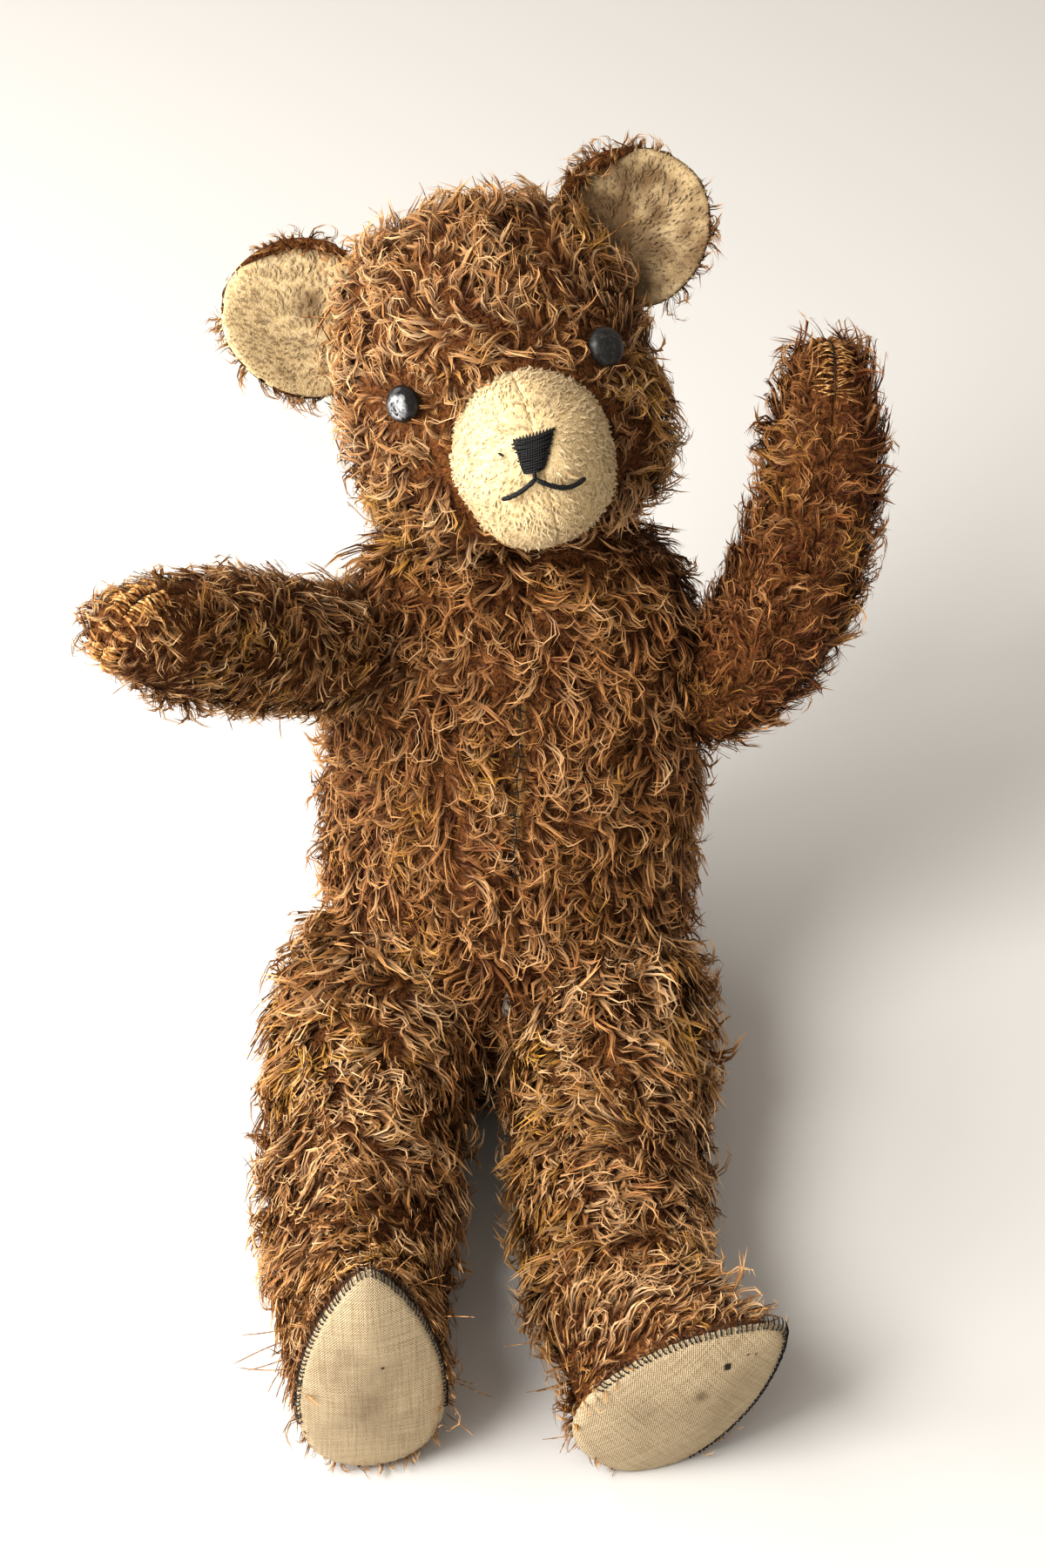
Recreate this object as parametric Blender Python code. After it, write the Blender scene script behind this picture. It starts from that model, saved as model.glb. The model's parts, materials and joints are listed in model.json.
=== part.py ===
"""Old unjointed teddy bear of shaggy brown plush, sitting with its legs out in front.

Metres, +Z up. The bear faces -Y, and left and right are the bear's own: its left is +X.
The origin is the middle of the flat that it sits on. Every cloth piece is a solid of its own,
cut to its seams, round a separate solid of stuffing. Neighbours keep a gap of 0.3 mm.
"""

import math

import bmesh
import bpy
from mathutils import Matrix, Vector

# ---- Driving dimensions -------------------------------------------------------------------------
GAP = 0.0003
PLUSH = 0.005  # backing cloth with its matted pile
SHORT_PLUSH = 0.0035  # clipped cream pile of the muzzle and the ear linings
LINEN = 0.0015

TORSO_LENGTH = 0.196
TORSO_SUNK = 0.016  # how far the round rump would reach below the floor if it didn't flatten
TORSO_LEAN = math.radians(21)
TORSO_TIP = math.radians(3)  # the shoulders stand a little to the left of the rump
TORSO_HALF_WIDTHS = (0.056, 0.0660, 0.0650, 0.0670, 0.0705, 0.070)
TORSO_HALF_DEPTHS = (0.050, 0.056, 0.055, 0.051, 0.046, 0.038)
TORSO_BOXINESS = 0.44  # power of the sine that rounds the ends: less is squarer

HEAD_RISE = 0.238  # from the middle of the rump to the middle of the head, along the torso
HEAD_HALF_WIDTHS = (0.058, 0.0575, 0.0535, 0.052, 0.047)
HEAD_HALF_DEPTHS = (0.044, 0.049, 0.051, 0.049, 0.042)
HEAD_HALF_HEIGHT = 0.058
HEAD_BOXINESS = 0.46
HEAD_ROLL = math.radians(-14.5)  # over towards the bear's right shoulder
HEAD_TURN = math.radians(7)
HEAD_PITCH = math.radians(17)  # chin up, past the lean of the torso
HEAD_SHIFT = -0.012

MUZZLE_CENTRE = Vector((0.0020, -0.040, -0.0310))
MUZZLE_RADII = Vector((0.0262, 0.034, 0.0300))
GUSSET_HALF_WIDTH = 0.018
GUSSET_END = 0.022  # how far behind the middle of the head it ends, under the head

EYE_RADIUS = 0.0070
EYE_DOME = 0.0042
EYE_RIM = 0.0012
EYE_LIFT = 0.0006  # its back stands this far above the cloth
EYE_PLACE = Vector((0.0330, 0, -0.003))
EYE_SHANK_RADIUS = 0.0016
EYE_SHANK_LENGTH = 0.013

EAR_HALF_WIDTH = 0.0275
EAR_HEIGHT = 0.0485
EAR_CUP = 0.010  # how deep the ear is cupped
EAR_PLACE = Vector((0.0455, 0.004, 0.0215))
EAR_LEAN_OUT = math.radians(42)
EAR_TURN_OUT = math.radians(14)
EAR_BACK_THICK = 0.0045
EAR_LINING_THICK = 0.0036

NOSE_HALF_WIDTH_TOP = 0.0078
NOSE_HALF_WIDTH_FOOT = 0.0034
NOSE_TOP = 0.0042
NOSE_FOOT = -0.0066
NOSE_THICK = 0.0014
MOUTH_THREAD = 0.0016
MOUTH_START = 0.0012
MOUTH_REACH = 0.0195
MOUTH_GAP = 0.0022  # from the foot of the nose
MOUTH_DROP = 0.0080

ARM_HALF_WIDTHS = (0.0235, 0.0240, 0.0235, 0.0225, 0.0215)
ARM_BOXINESS = 0.4
LEG_HALF_WIDTHS = (0.031, 0.0330, 0.0325, 0.0300, 0.0260, 0.0225)
LEG_HALF_DEPTHS = (0.031, 0.0325, 0.0310, 0.0290, 0.0300, 0.0405)
LEG_ROOT = 0.16  # share of the leg over which its root rounds off, inside the hip
TOE_TAPER = 0.30  # how much narrower the toe is than the heel
TOE_THROW = 0.010  # how far the foot stands out from the leg, towards the toe
TOE_START = 0.68  # share of the leg where the foot starts to stand out
SOLE_DOME = 0.0055
PAD_INSET = 0.0006  # how far the pad's rim lies inside the leg's

FAR = 0.2  # past every piece
SEGMENTS = 20
TORSO_ROWS = 13
HEAD_ROWS = 12
MUZZLE_ROWS = 9
EYE_SEGMENTS = 14
ARM_ROWS = 11
ROOT_ROWS = 3
LEG_ROWS = 10

FORWARD = Vector((0, -1, 0))
UP = Vector((0, 0, 1))
TORSO_TURN = Matrix.Rotation(TORSO_TIP, 3, "Y") @ Matrix.Rotation(-TORSO_LEAN, 3, "X")
TORSO_SIDE = TORSO_TURN @ Vector((1, 0, 0))
TORSO_AXIS = TORSO_TURN @ UP
TORSO_FRONT = TORSO_TURN @ FORWARD


# ---- Materials ----------------------------------------------------------------------------------
def material(name, colour, roughness, metallic=0.0):
    made = bpy.data.materials.new(name)
    made.use_nodes = True
    shader = made.node_tree.nodes["Principled BSDF"]
    shader.inputs["Base Color"].default_value = (*colour, 1)
    shader.inputs["Roughness"].default_value = roughness
    shader.inputs["Metallic"].default_value = metallic
    return made


def clear_scene():
    for old in list(bpy.data.objects):
        bpy.data.objects.remove(old, do_unlink=True)


# ---- Shapes from rings of points ----------------------------------------------------------------
def smooth(u):
    """Rises smoothly from 0 to 1."""
    u = min(max(u, 0.0), 1.0)
    return u * u * (3 - 2 * u)


def between(values, u):
    """The value at u from 0 to 1 on a smooth curve through evenly spaced values."""
    last = len(values) - 1
    i = min(int(u * last), last - 1)
    t = u * last - i
    before = values[max(i - 1, 0)]
    after = values[min(i + 2, last)]
    slope_a = (values[i + 1] - before) / (2 if i else 1)
    slope_b = (after - values[i]) / (2 if i + 2 <= last else 1)
    rise = t * t * (3 - 2 * t)
    return (
        values[i] * (1 - rise)
        + values[i + 1] * rise
        + slope_a * (t**3 - 2 * t * t + t)
        + slope_b * (t**3 - t * t)
    )


def ring(centre, side, front, half_width, half_depth, angles, taper=0.0):
    """Points round a section. A taper makes the section narrower towards its front."""
    return [
        centre
        + side * (half_width * math.cos(a) * (1 - taper * math.sin(a)))
        + front * (half_depth * math.sin(a))
        for a in angles
    ]


def on_floor(points, height):
    return [Vector((p.x, p.y, max(p.z, height))) for p in points]


def mesh_object(name, bm, finish):
    """A named object from a bmesh whose faces are made to point outwards."""
    bmesh.ops.recalc_face_normals(bm, faces=bm.faces)
    mesh = bpy.data.meshes.new(name)
    bm.to_mesh(mesh)
    bm.free()
    mesh.materials.append(finish)
    mesh.shade_smooth()
    mesh.set_sharp_from_angle(angle=math.radians(50))
    obj = bpy.data.objects.new(name, mesh)
    bpy.context.scene.collection.objects.link(obj)
    return obj


def join_rows(bm, a, b, whole):
    """Faces between two rows. Each four-cornered cell is split the same way in every skin."""
    count = max(len(a), len(b))
    for i in range(count if whole else count - 1):
        j = (i + 1) % count
        if len(a) > 1:
            bm.faces.new((a[i], a[j], b[j % len(b)]))
        if len(b) > 1:
            bm.faces.new((a[i % len(a)], b[j], b[i]))


def closed_form(name, rows, finish):
    """A solid from whole rings. A row of one point is a pole; a whole ring at an end is capped."""
    bm = bmesh.new()
    made = [[bm.verts.new(p) for p in row] for row in rows]
    for a, b in zip(made, made[1:]):
        join_rows(bm, a, b, True)
    for end in (made[0], made[-1]):
        if len(end) > 1:
            bm.faces.new(end)
    return mesh_object(name, bm, finish)


def cloth_panel(name, outer, inner, finish):
    """A cloth piece as a solid between two part-rings of the same layout, with walls at its edges."""
    bm = bmesh.new()
    skins = [[[bm.verts.new(p) for p in row] for row in rows] for rows in (outer, inner)]
    for skin in skins:
        for a, b in zip(skin, skin[1:]):
            join_rows(bm, a, b, False)
    top, under = skins
    for edge in (0, -1):
        for row in range(len(top) - 1):
            bm.faces.new(
                (top[row][edge], top[row + 1][edge], under[row + 1][edge], under[row][edge])
            )
    for row in (0, -1):
        for i in range(len(top[row]) - 1):
            bm.faces.new((top[row][i], top[row][i + 1], under[row][i + 1], under[row][i]))
    return mesh_object(name, bm, finish)


def whole_angles(count=SEGMENTS):
    return [math.tau * k / count for k in range(count)]


def part_angles(start, end):
    """Angles of the whole ring's own corners from start to end, in quarter turns."""
    steps = (end - start) * SEGMENTS // 4
    return [math.tau / 4 * (start + k * 4 / SEGMENTS) for k in range(steps + 1)]


def seam_shift(points, shift_start, shift_end):
    """Draws the two edges of a part-ring back from the seam's middle, by half a gap each."""
    if len(points) == 1:
        return [points[0] + (shift_start + shift_end) * (GAP / 2)]
    points = list(points)
    points[0] = points[0] + shift_start * (GAP / 2)
    points[-1] = points[-1] + shift_end * (GAP / 2)
    return points


def boolean(obj, operation, other):
    cut = obj.modifiers.new(operation.title() + "_" + other.name, "BOOLEAN")
    cut.operation = operation
    cut.solver = "EXACT"
    cut.object = other
    return obj


def helper(obj):
    """A cutter: seen as wires, and not part of the bear."""
    obj.hide_render = True
    obj.display_type = "WIRE"
    return obj


# ---- Torso: two fronts that meet at the seam down the belly, one back, and the stuffing ----------
def torso_row(u, inset, angles):
    """A ring of the torso, or its pole at u = 0 or 1, drawn in by inset from the cloth's outside."""
    along = -TORSO_SUNK + inset
    reach = TORSO_LENGTH + TORSO_SUNK - 2 * inset
    centre = TORSO_AXIS * (along + reach * (1 - math.cos(math.pi * u)) / 2)
    round_off = math.sin(math.pi * u) ** TORSO_BOXINESS if 0 < u < 1 else 0.0
    if not round_off:
        return on_floor([centre], inset)
    half_width = (between(TORSO_HALF_WIDTHS, u) - inset) * round_off
    half_depth = (between(TORSO_HALF_DEPTHS, u) - inset) * round_off
    return on_floor(
        ring(centre, TORSO_SIDE, TORSO_FRONT, half_width, half_depth, angles), inset
    )


def torso_solid(name, inset, finish):
    rows = [torso_row(k / TORSO_ROWS, inset, whole_angles()) for k in range(TORSO_ROWS + 1)]
    return closed_form(name, rows, finish)


def torso_panel(name, start, end, shift_start, shift_end, finish):
    """The torso's cloth between two quarter turns, counted from its left side to its front."""
    angles = part_angles(start, end)
    skins = [
        [
            seam_shift(torso_row(k / TORSO_ROWS, inset, angles), shift_start, shift_end)
            for k in range(TORSO_ROWS + 1)
        ]
        for inset in (0, PLUSH)
    ]
    return cloth_panel(name, *skins, finish)


def build_torso(plush, stuffing):
    torso_panel("torso_front_left", 0, 1, TORSO_FRONT, TORSO_SIDE, plush)
    torso_panel("torso_front_right", 1, 2, -TORSO_SIDE, TORSO_FRONT, plush)
    torso_panel("torso_back", 2, 4, -TORSO_FRONT, -TORSO_FRONT, plush)
    torso_solid("torso_stuffing", PLUSH + GAP, stuffing)
    return helper(torso_solid("torso_room", -GAP, stuffing))


# ---- Arms and legs: an outer and an inner cloth round a bent centre line -------------------------
def bent_line(points, u):
    """A place and a direction on the curve between the end points, pulled by the middle one."""
    a, b, c = points
    place = a * (1 - u) ** 2 + b * (2 * u * (1 - u)) + c * u**2
    return place, ((b - a) * (1 - u) + (c - b) * u).normalized()


class Limb:
    """Where a limb runs, how thick it is, and which way its outer side faces along it.

    Each station is a share of the limb's length and how far the section has shrunk there, from 1
    to 0, towards a round end. A foot's toe is 1 or -1 times the way square to the outer side.
    """

    def __init__(self, points, outward, widths, depths, stations, toe=0, turn=0.0):
        self.points = [Vector(p) for p in points]
        self.outward = Vector(outward)
        self.widths = widths
        self.depths = depths
        self.stations = stations
        self.toe = toe
        self.turn = turn
        self.length = (self.points[1] - self.points[0]).length
        self.length += (self.points[2] - self.points[1]).length

    def axes(self, u):
        """Place, direction along, outward side, and the direction square to both."""
        place, along = bent_line(self.points, u)
        side = (self.outward - along * self.outward.dot(along)).normalized()
        side = Matrix.Rotation(self.turn * smooth(u), 3, along) @ side
        front = side.cross(along)
        foot = smooth((u - TOE_START) / (1 - TOE_START))
        return place + front * (self.toe * TOE_THROW * foot), along, side, front

    def row(self, station, inset, angles):
        """A ring, or the pole at a round end, drawn in by inset."""
        u, round_off = self.stations[station]
        drawn = inset / self.length
        u = drawn + (1 - drawn * (1 if self.toe else 2)) * u
        place, _, side, front = self.axes(u)
        if not round_off:
            return on_floor([place], inset)
        half_width = (between(self.widths, u) - inset) * round_off
        half_depth = (between(self.depths, u) - inset) * round_off
        taper = self.toe * TOE_TAPER * smooth(u)
        return on_floor(ring(place, side, front, half_width, half_depth, angles, taper), inset)

    def solid(self, name, inset, finish, ending=()):
        rings = [self.row(k, inset, whole_angles()) for k in range(len(self.stations))]
        return closed_form(name, rings + list(ending), finish)

    def panel(self, name, outer_side, finish):
        """One of the limb's two cloths. Their seams run along its front and its back."""
        start = -1 if outer_side else 1
        angles = part_angles(start, start + 2)
        skins = []
        for inset in (0, PLUSH):
            skin = []
            for k, (u, _) in enumerate(self.stations):
                side = self.axes(u)[2] * (1 if outer_side else -1)
                points = self.row(k, inset, angles)
                one_point = len(points) == 1
                skin.append(seam_shift(points, side, Vector() if one_point else side))
            skins.append(skin)
        return cloth_panel(name, *skins, finish)


def arm_stations():
    """Round at both ends."""
    turns = [math.pi * k / ARM_ROWS for k in range(ARM_ROWS + 1)]
    stations = [((1 - math.cos(t)) / 2, math.sin(t) ** ARM_BOXINESS) for t in turns]
    stations[0] = (0.0, 0.0)
    stations[-1] = (1.0, 0.0)
    return stations


def leg_stations():
    """Round at the root, and open at the foot, where the pad closes it."""
    turns = [math.pi / 2 * k / ROOT_ROWS for k in range(ROOT_ROWS)]
    root = [(LEG_ROOT * (1 - math.cos(t)), math.sin(t) ** 0.7) for t in turns]
    shares = [k / LEG_ROWS for k in range(LEG_ROWS + 1)]
    return root + [(LEG_ROOT + (1 - LEG_ROOT) * share, 1.0) for share in shares]


def build_arm(which, limb, torso_room, plush, stuffing):
    outer = limb.panel(f"arm_{which}_outer", True, plush)
    inner = limb.panel(f"arm_{which}_inner", False, plush)
    core = limb.solid(f"arm_{which}_stuffing", PLUSH + GAP, stuffing)
    for piece in (outer, inner, core):
        boolean(piece, "DIFFERENCE", torso_room)


def sole_rows(limb, inset, rise, low, shares):
    """Rings of the domed end of a leg, from its rim to the middle, with the rim drawn in by inset."""
    place, along, side, front = limb.axes(1.0)
    half_width = limb.widths[-1] - inset
    half_depth = limb.depths[-1] - inset
    taper = limb.toe * TOE_TAPER
    rows = []
    for share in shares:
        centre = place + along * (rise + SOLE_DOME * (1 - share * share))
        width, depth = half_width * share, half_depth * share
        row = ring(centre, side, front, width, depth, whole_angles(), taper)
        rows.append(on_floor(row if share else [centre], low))
    return rows


def build_leg(which, limb, torso_room, plush, linen, stuffing):
    outer = limb.panel(f"leg_{which}_outer", True, plush)
    inner = limb.panel(f"leg_{which}_inner", False, plush)
    core_inset = PLUSH + GAP
    core_end = sole_rows(limb, core_inset, 0, core_inset, (0.8, 0.45, 0))
    core = limb.solid(f"leg_{which}_stuffing", core_inset, stuffing, core_end)
    for piece in (outer, inner, core):
        boolean(piece, "DIFFERENCE", torso_room)
    shares = (1, 0.8, 0.45, 0)
    inside = sole_rows(limb, PAD_INSET, GAP, 0, shares)
    outside = sole_rows(limb, PAD_INSET, GAP + LINEN, 0, shares)
    closed_form(f"foot_pad_{which}", inside[::-1] + outside, linen)


# ---- Head ---------------------------------------------------------------------------------------
def head_frame():
    """The head's own frame: x to its left, -y out of the face, z to its crown."""
    place = Matrix.Translation(TORSO_AXIS * HEAD_RISE + Vector((HEAD_SHIFT, 0, 0)))
    lean = Matrix.Rotation(-TORSO_LEAN, 4, "X")
    roll = Matrix.Rotation(HEAD_ROLL, 4, "Y")
    turn = Matrix.Rotation(HEAD_TURN, 4, "Z")
    pitch = Matrix.Rotation(-HEAD_PITCH, 4, "X")
    return place @ lean @ roll @ turn @ pitch


def head_row(u, inset, angles):
    half_height = HEAD_HALF_HEIGHT - inset
    centre = Vector((0, 0, -half_height * math.cos(math.pi * u)))
    round_off = math.sin(math.pi * u) ** HEAD_BOXINESS if 0 < u < 1 else 0.0
    if not round_off:
        return [centre]
    half_width = (between(HEAD_HALF_WIDTHS, u) - inset) * round_off
    half_depth = (between(HEAD_HALF_DEPTHS, u) - inset) * round_off
    return ring(centre, Vector((1, 0, 0)), FORWARD, half_width, half_depth, angles)


def head_solid(name, inset, finish):
    rows = [head_row(k / HEAD_ROWS, inset, whole_angles()) for k in range(HEAD_ROWS + 1)]
    return closed_form(name, rows, finish)


def face_point(x, z):
    """Where the front of the head is at x and z in the head's frame, and which way it faces."""
    u = math.acos(-z / HEAD_HALF_HEIGHT) / math.pi
    round_off = math.sin(math.pi * u) ** HEAD_BOXINESS
    width = between(HEAD_HALF_WIDTHS, u) * round_off
    depth = between(HEAD_HALF_DEPTHS, u) * round_off
    y = -depth * math.sqrt(1 - (x / width) ** 2)
    normal = Vector((x / width**2, y / depth**2, z / HEAD_HALF_HEIGHT**2)).normalized()
    return Vector((x, y, z)), normal


def muzzle_solid(name, grow, finish):
    """An egg shape, grown by grow, with its poles fore and aft."""
    radii = [r + grow for r in MUZZLE_RADII]
    rows = []
    for k in range(MUZZLE_ROWS + 1):
        bow = math.pi * k / MUZZLE_ROWS
        centre = MUZZLE_CENTRE + FORWARD * (radii[1] * math.cos(bow))
        if k in (0, MUZZLE_ROWS):
            rows.append([centre])
            continue
        half_width, half_height = radii[0] * math.sin(bow), radii[2] * math.sin(bow)
        rows.append(
            ring(centre, Vector((1, 0, 0)), UP, half_width, half_height, whole_angles())
        )
    return closed_form(name, rows, finish)


def muzzle_point(direction, grow):
    """The point of the muzzle's surface, grown by grow, in a direction from its middle."""
    unit = direction.normalized()
    radii = [r + grow for r in MUZZLE_RADII]
    return MUZZLE_CENTRE + unit / math.sqrt(sum((c / r) ** 2 for c, r in zip(unit, radii)))


def prism(name, outline, low_x, high_x, finish):
    """A prism along x from an outline in y and z."""
    bm = bmesh.new()
    ends = [[bm.verts.new((x, y, z)) for y, z in outline] for x in (low_x, high_x)]
    for end in ends:
        bm.faces.new(end)
    for i in range(len(outline)):
        j = (i + 1) % len(outline)
        bm.faces.new((ends[0][i], ends[0][j], ends[1][j], ends[1][i]))
    return mesh_object(name, bm, finish)


def gusset_outline(grow):
    """All of the head seen from its side, but for the chin, where the two sides meet."""
    low = MUZZLE_CENTRE.z - grow
    end = GUSSET_END - grow
    return [(-FAR, low), (end, low), (end, -FAR), (FAR, -FAR), (FAR, FAR), (-FAR, FAR)]


def half_space(name, sign, frame, finish):
    """Everything on one side of the head's middle, but for half a gap."""
    outline = [(-FAR, -FAR), (FAR, -FAR), (FAR, FAR), (-FAR, FAR)]
    near, far = sorted((sign * GAP / 2, sign * FAR))
    return helper(placed(prism(name, outline, near, far, finish), frame))


def placed(obj, frame):
    obj.matrix_world = frame
    return obj


def turned(name, profile, count, frame, finish):
    """A solid of revolution about z from (radius, height) pairs. A radius of 0 is a pole."""
    rows = [
        [Vector((r * math.cos(a), r * math.sin(a), z)) for a in whole_angles(count)]
        if r
        else [Vector((0, 0, z))]
        for r, z in profile
    ]
    return placed(closed_form(name, rows, finish), frame)


def build_eye(which, sign, frame, glass):
    """A domed eye and its shank, turned in one piece. Returns what they need out of the cloth."""
    place, normal = face_point(sign * EYE_PLACE.x, EYE_PLACE.z)
    turn = normal.to_track_quat("Z", "X").to_matrix().to_4x4()
    stand = frame @ Matrix.Translation(place) @ turn
    back = EYE_LIFT + EYE_RIM
    dome = [math.pi / 2 * k / 5 for k in range(5)]
    profile = [
        (EYE_SHANK_RADIUS, -EYE_SHANK_LENGTH),
        (EYE_SHANK_RADIUS, EYE_LIFT),
        (EYE_RADIUS, EYE_LIFT + EYE_RIM / 2),
        *[(EYE_RADIUS * math.cos(a), back + EYE_DOME * math.sin(a)) for a in dome],
        (0, back + EYE_DOME),
    ]
    turned(f"eye_{which}", profile, EYE_SEGMENTS, stand, glass)
    bore = EYE_SHANK_RADIUS + GAP
    bed = EYE_RADIUS + GAP
    above = EYE_LIFT - GAP
    profile = [
        (bore, -EYE_SHANK_LENGTH - GAP),
        (bore, above),
        (bed, above),
        (bed, above + FAR / 10),
    ]
    return helper(turned(f"eye_{which}_room", profile, EYE_SEGMENTS, stand, glass))


def ear_point(across, up, forward):
    """A point of the cupped ear: across runs from -1 to 1 of its width, and up from 0 to 1."""
    cup = EAR_CUP * (across * across + 0.6 * (up - 0.45) ** 2)
    return Vector((across * EAR_HALF_WIDTH, -cup + forward, up * EAR_HEIGHT))


def ear_rows(outer, inner):
    """Rings of a cupped disc, from the middle of one face over the rim to that of the other."""
    middle = 0.42
    rows = []
    for forward, shares in ((outer, (0, 0.4, 0.75, 1)), (inner, (1, 0.75, 0.4, 0))):
        for share in shares:
            points = [
                ear_point(share * math.cos(a), middle + share * math.sin(a) * (1 - middle), forward)
                for a in whole_angles()
            ]
            rows.append(points if share else points[:1])
    return rows


def build_ear(which, sign, frame, head_room, plush, cream):
    """A brown back and a cream lining, cupped towards the front and sewn to the head's side."""
    place = Matrix.Translation(Vector((sign * EAR_PLACE.x, EAR_PLACE.y, EAR_PLACE.z)))
    turn = Matrix.Rotation(-sign * EAR_TURN_OUT, 4, "Z")
    tilt = Matrix.Rotation(sign * EAR_LEAN_OUT, 4, "Y")
    stand = frame @ place @ turn @ tilt
    lining = closed_form(f"ear_{which}_lining", ear_rows(-EAR_LINING_THICK, -GAP / 2), cream)
    back = closed_form(f"ear_{which}_back", ear_rows(EAR_BACK_THICK, GAP / 2), plush)
    for piece in (lining, back):
        boolean(placed(piece, stand), "DIFFERENCE", head_room)


def build_nose(frame, thread):
    """An upside-down trapezium of satin stitches that follows the muzzle."""
    tip = FORWARD * MUZZLE_RADII.y
    steps = 6
    skins = [[], []]
    for k in range(steps + 1):
        share = k / steps
        half = NOSE_HALF_WIDTH_TOP + (NOSE_HALF_WIDTH_FOOT - NOSE_HALF_WIDTH_TOP) * share**0.8
        z = NOSE_TOP + (NOSE_FOOT - NOSE_TOP) * share
        aims = [tip + Vector((half * (2 * i / steps - 1), 0, z)) for i in range(steps + 1)]
        skins[0].append([muzzle_point(aim, GAP + NOSE_THICK) for aim in aims])
        skins[1].append([muzzle_point(aim, GAP) for aim in aims])
    placed(cloth_panel("nose_stitching", *skins, thread), frame)


def build_mouth(which, sign, frame, thread):
    """One stroke of the mouth, from below the nose outwards and down, as a round thread."""
    tip = FORWARD * MUZZLE_RADII.y
    steps = 9
    name = f"mouth_stitch_{which}"
    curve = bpy.data.curves.new(name, "CURVE")
    curve.dimensions = "3D"
    curve.bevel_depth = MOUTH_THREAD / 2
    curve.bevel_resolution = 1
    curve.use_fill_caps = True
    spline = curve.splines.new("POLY")
    spline.points.add(steps)
    for k in range(steps + 1):
        share = k / steps
        x = MOUTH_START + (MOUTH_REACH - MOUTH_START) * share
        drop = MOUTH_DROP * math.sin(math.pi / 2 * min(share * 1.25, 1)) ** 1.2
        aim = tip + Vector((sign * x, 0, NOSE_FOOT - MOUTH_GAP - drop))
        spline.points[k].co = (*muzzle_point(aim, 2 * GAP + MOUTH_THREAD / 2), 1)
    curve.materials.append(thread)
    obj = bpy.data.objects.new(name, curve)
    bpy.context.scene.collection.objects.link(obj)
    placed(obj, frame)


def build_head(torso_room, plush, cream, stuffing, thread, glass):
    frame = head_frame()

    def room(obj):
        return helper(placed(obj, frame))

    inside = room(head_solid("head_inside", PLUSH, plush))
    outside = room(head_solid("head_room", -GAP, plush))
    muzzle_room = room(muzzle_solid("muzzle_room", GAP, plush))
    muzzle_inside = room(muzzle_solid("muzzle_inside", -SHORT_PLUSH, cream))
    muzzle_core = room(muzzle_solid("muzzle_core", -SHORT_PLUSH - GAP, stuffing))
    half = GUSSET_HALF_WIDTH
    strip = room(prism("gusset_strip", gusset_outline(0), -half, half, plush))
    half += GAP
    strip_room = room(prism("gusset_room", gusset_outline(GAP), -half, half, plush))
    sides = {"left": 1, "right": -1}
    halves = {
        which: half_space(f"head_half_{which}", sign, frame, plush)
        for which, sign in sides.items()
    }
    eye_rooms = {which: build_eye(which, sign, frame, glass) for which, sign in sides.items()}

    gusset = placed(head_solid("head_gusset", 0, plush), frame)
    boolean(gusset, "INTERSECT", strip)
    for cutter in (inside, muzzle_room, torso_room):
        boolean(gusset, "DIFFERENCE", cutter)

    for which in sides:
        side = placed(head_solid(f"head_side_{which}", 0, plush), frame)
        boolean(side, "INTERSECT", halves[which])
        for cutter in (strip_room, inside, muzzle_room, torso_room, eye_rooms[which]):
            boolean(side, "DIFFERENCE", cutter)
        muzzle = placed(muzzle_solid(f"muzzle_{which}", 0, cream), frame)
        boolean(muzzle, "INTERSECT", halves[which])
        for cutter in (muzzle_inside, inside, torso_room):
            boolean(muzzle, "DIFFERENCE", cutter)

    core = placed(head_solid("head_stuffing", PLUSH + GAP, stuffing), frame)
    boolean(core, "UNION", muzzle_core)
    for cutter in (torso_room, *eye_rooms.values()):
        boolean(core, "DIFFERENCE", cutter)

    for which, sign in sides.items():
        build_ear(which, sign, frame, outside, plush, cream)
        build_mouth(which, sign, frame, thread)
    build_nose(frame, thread)


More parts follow.
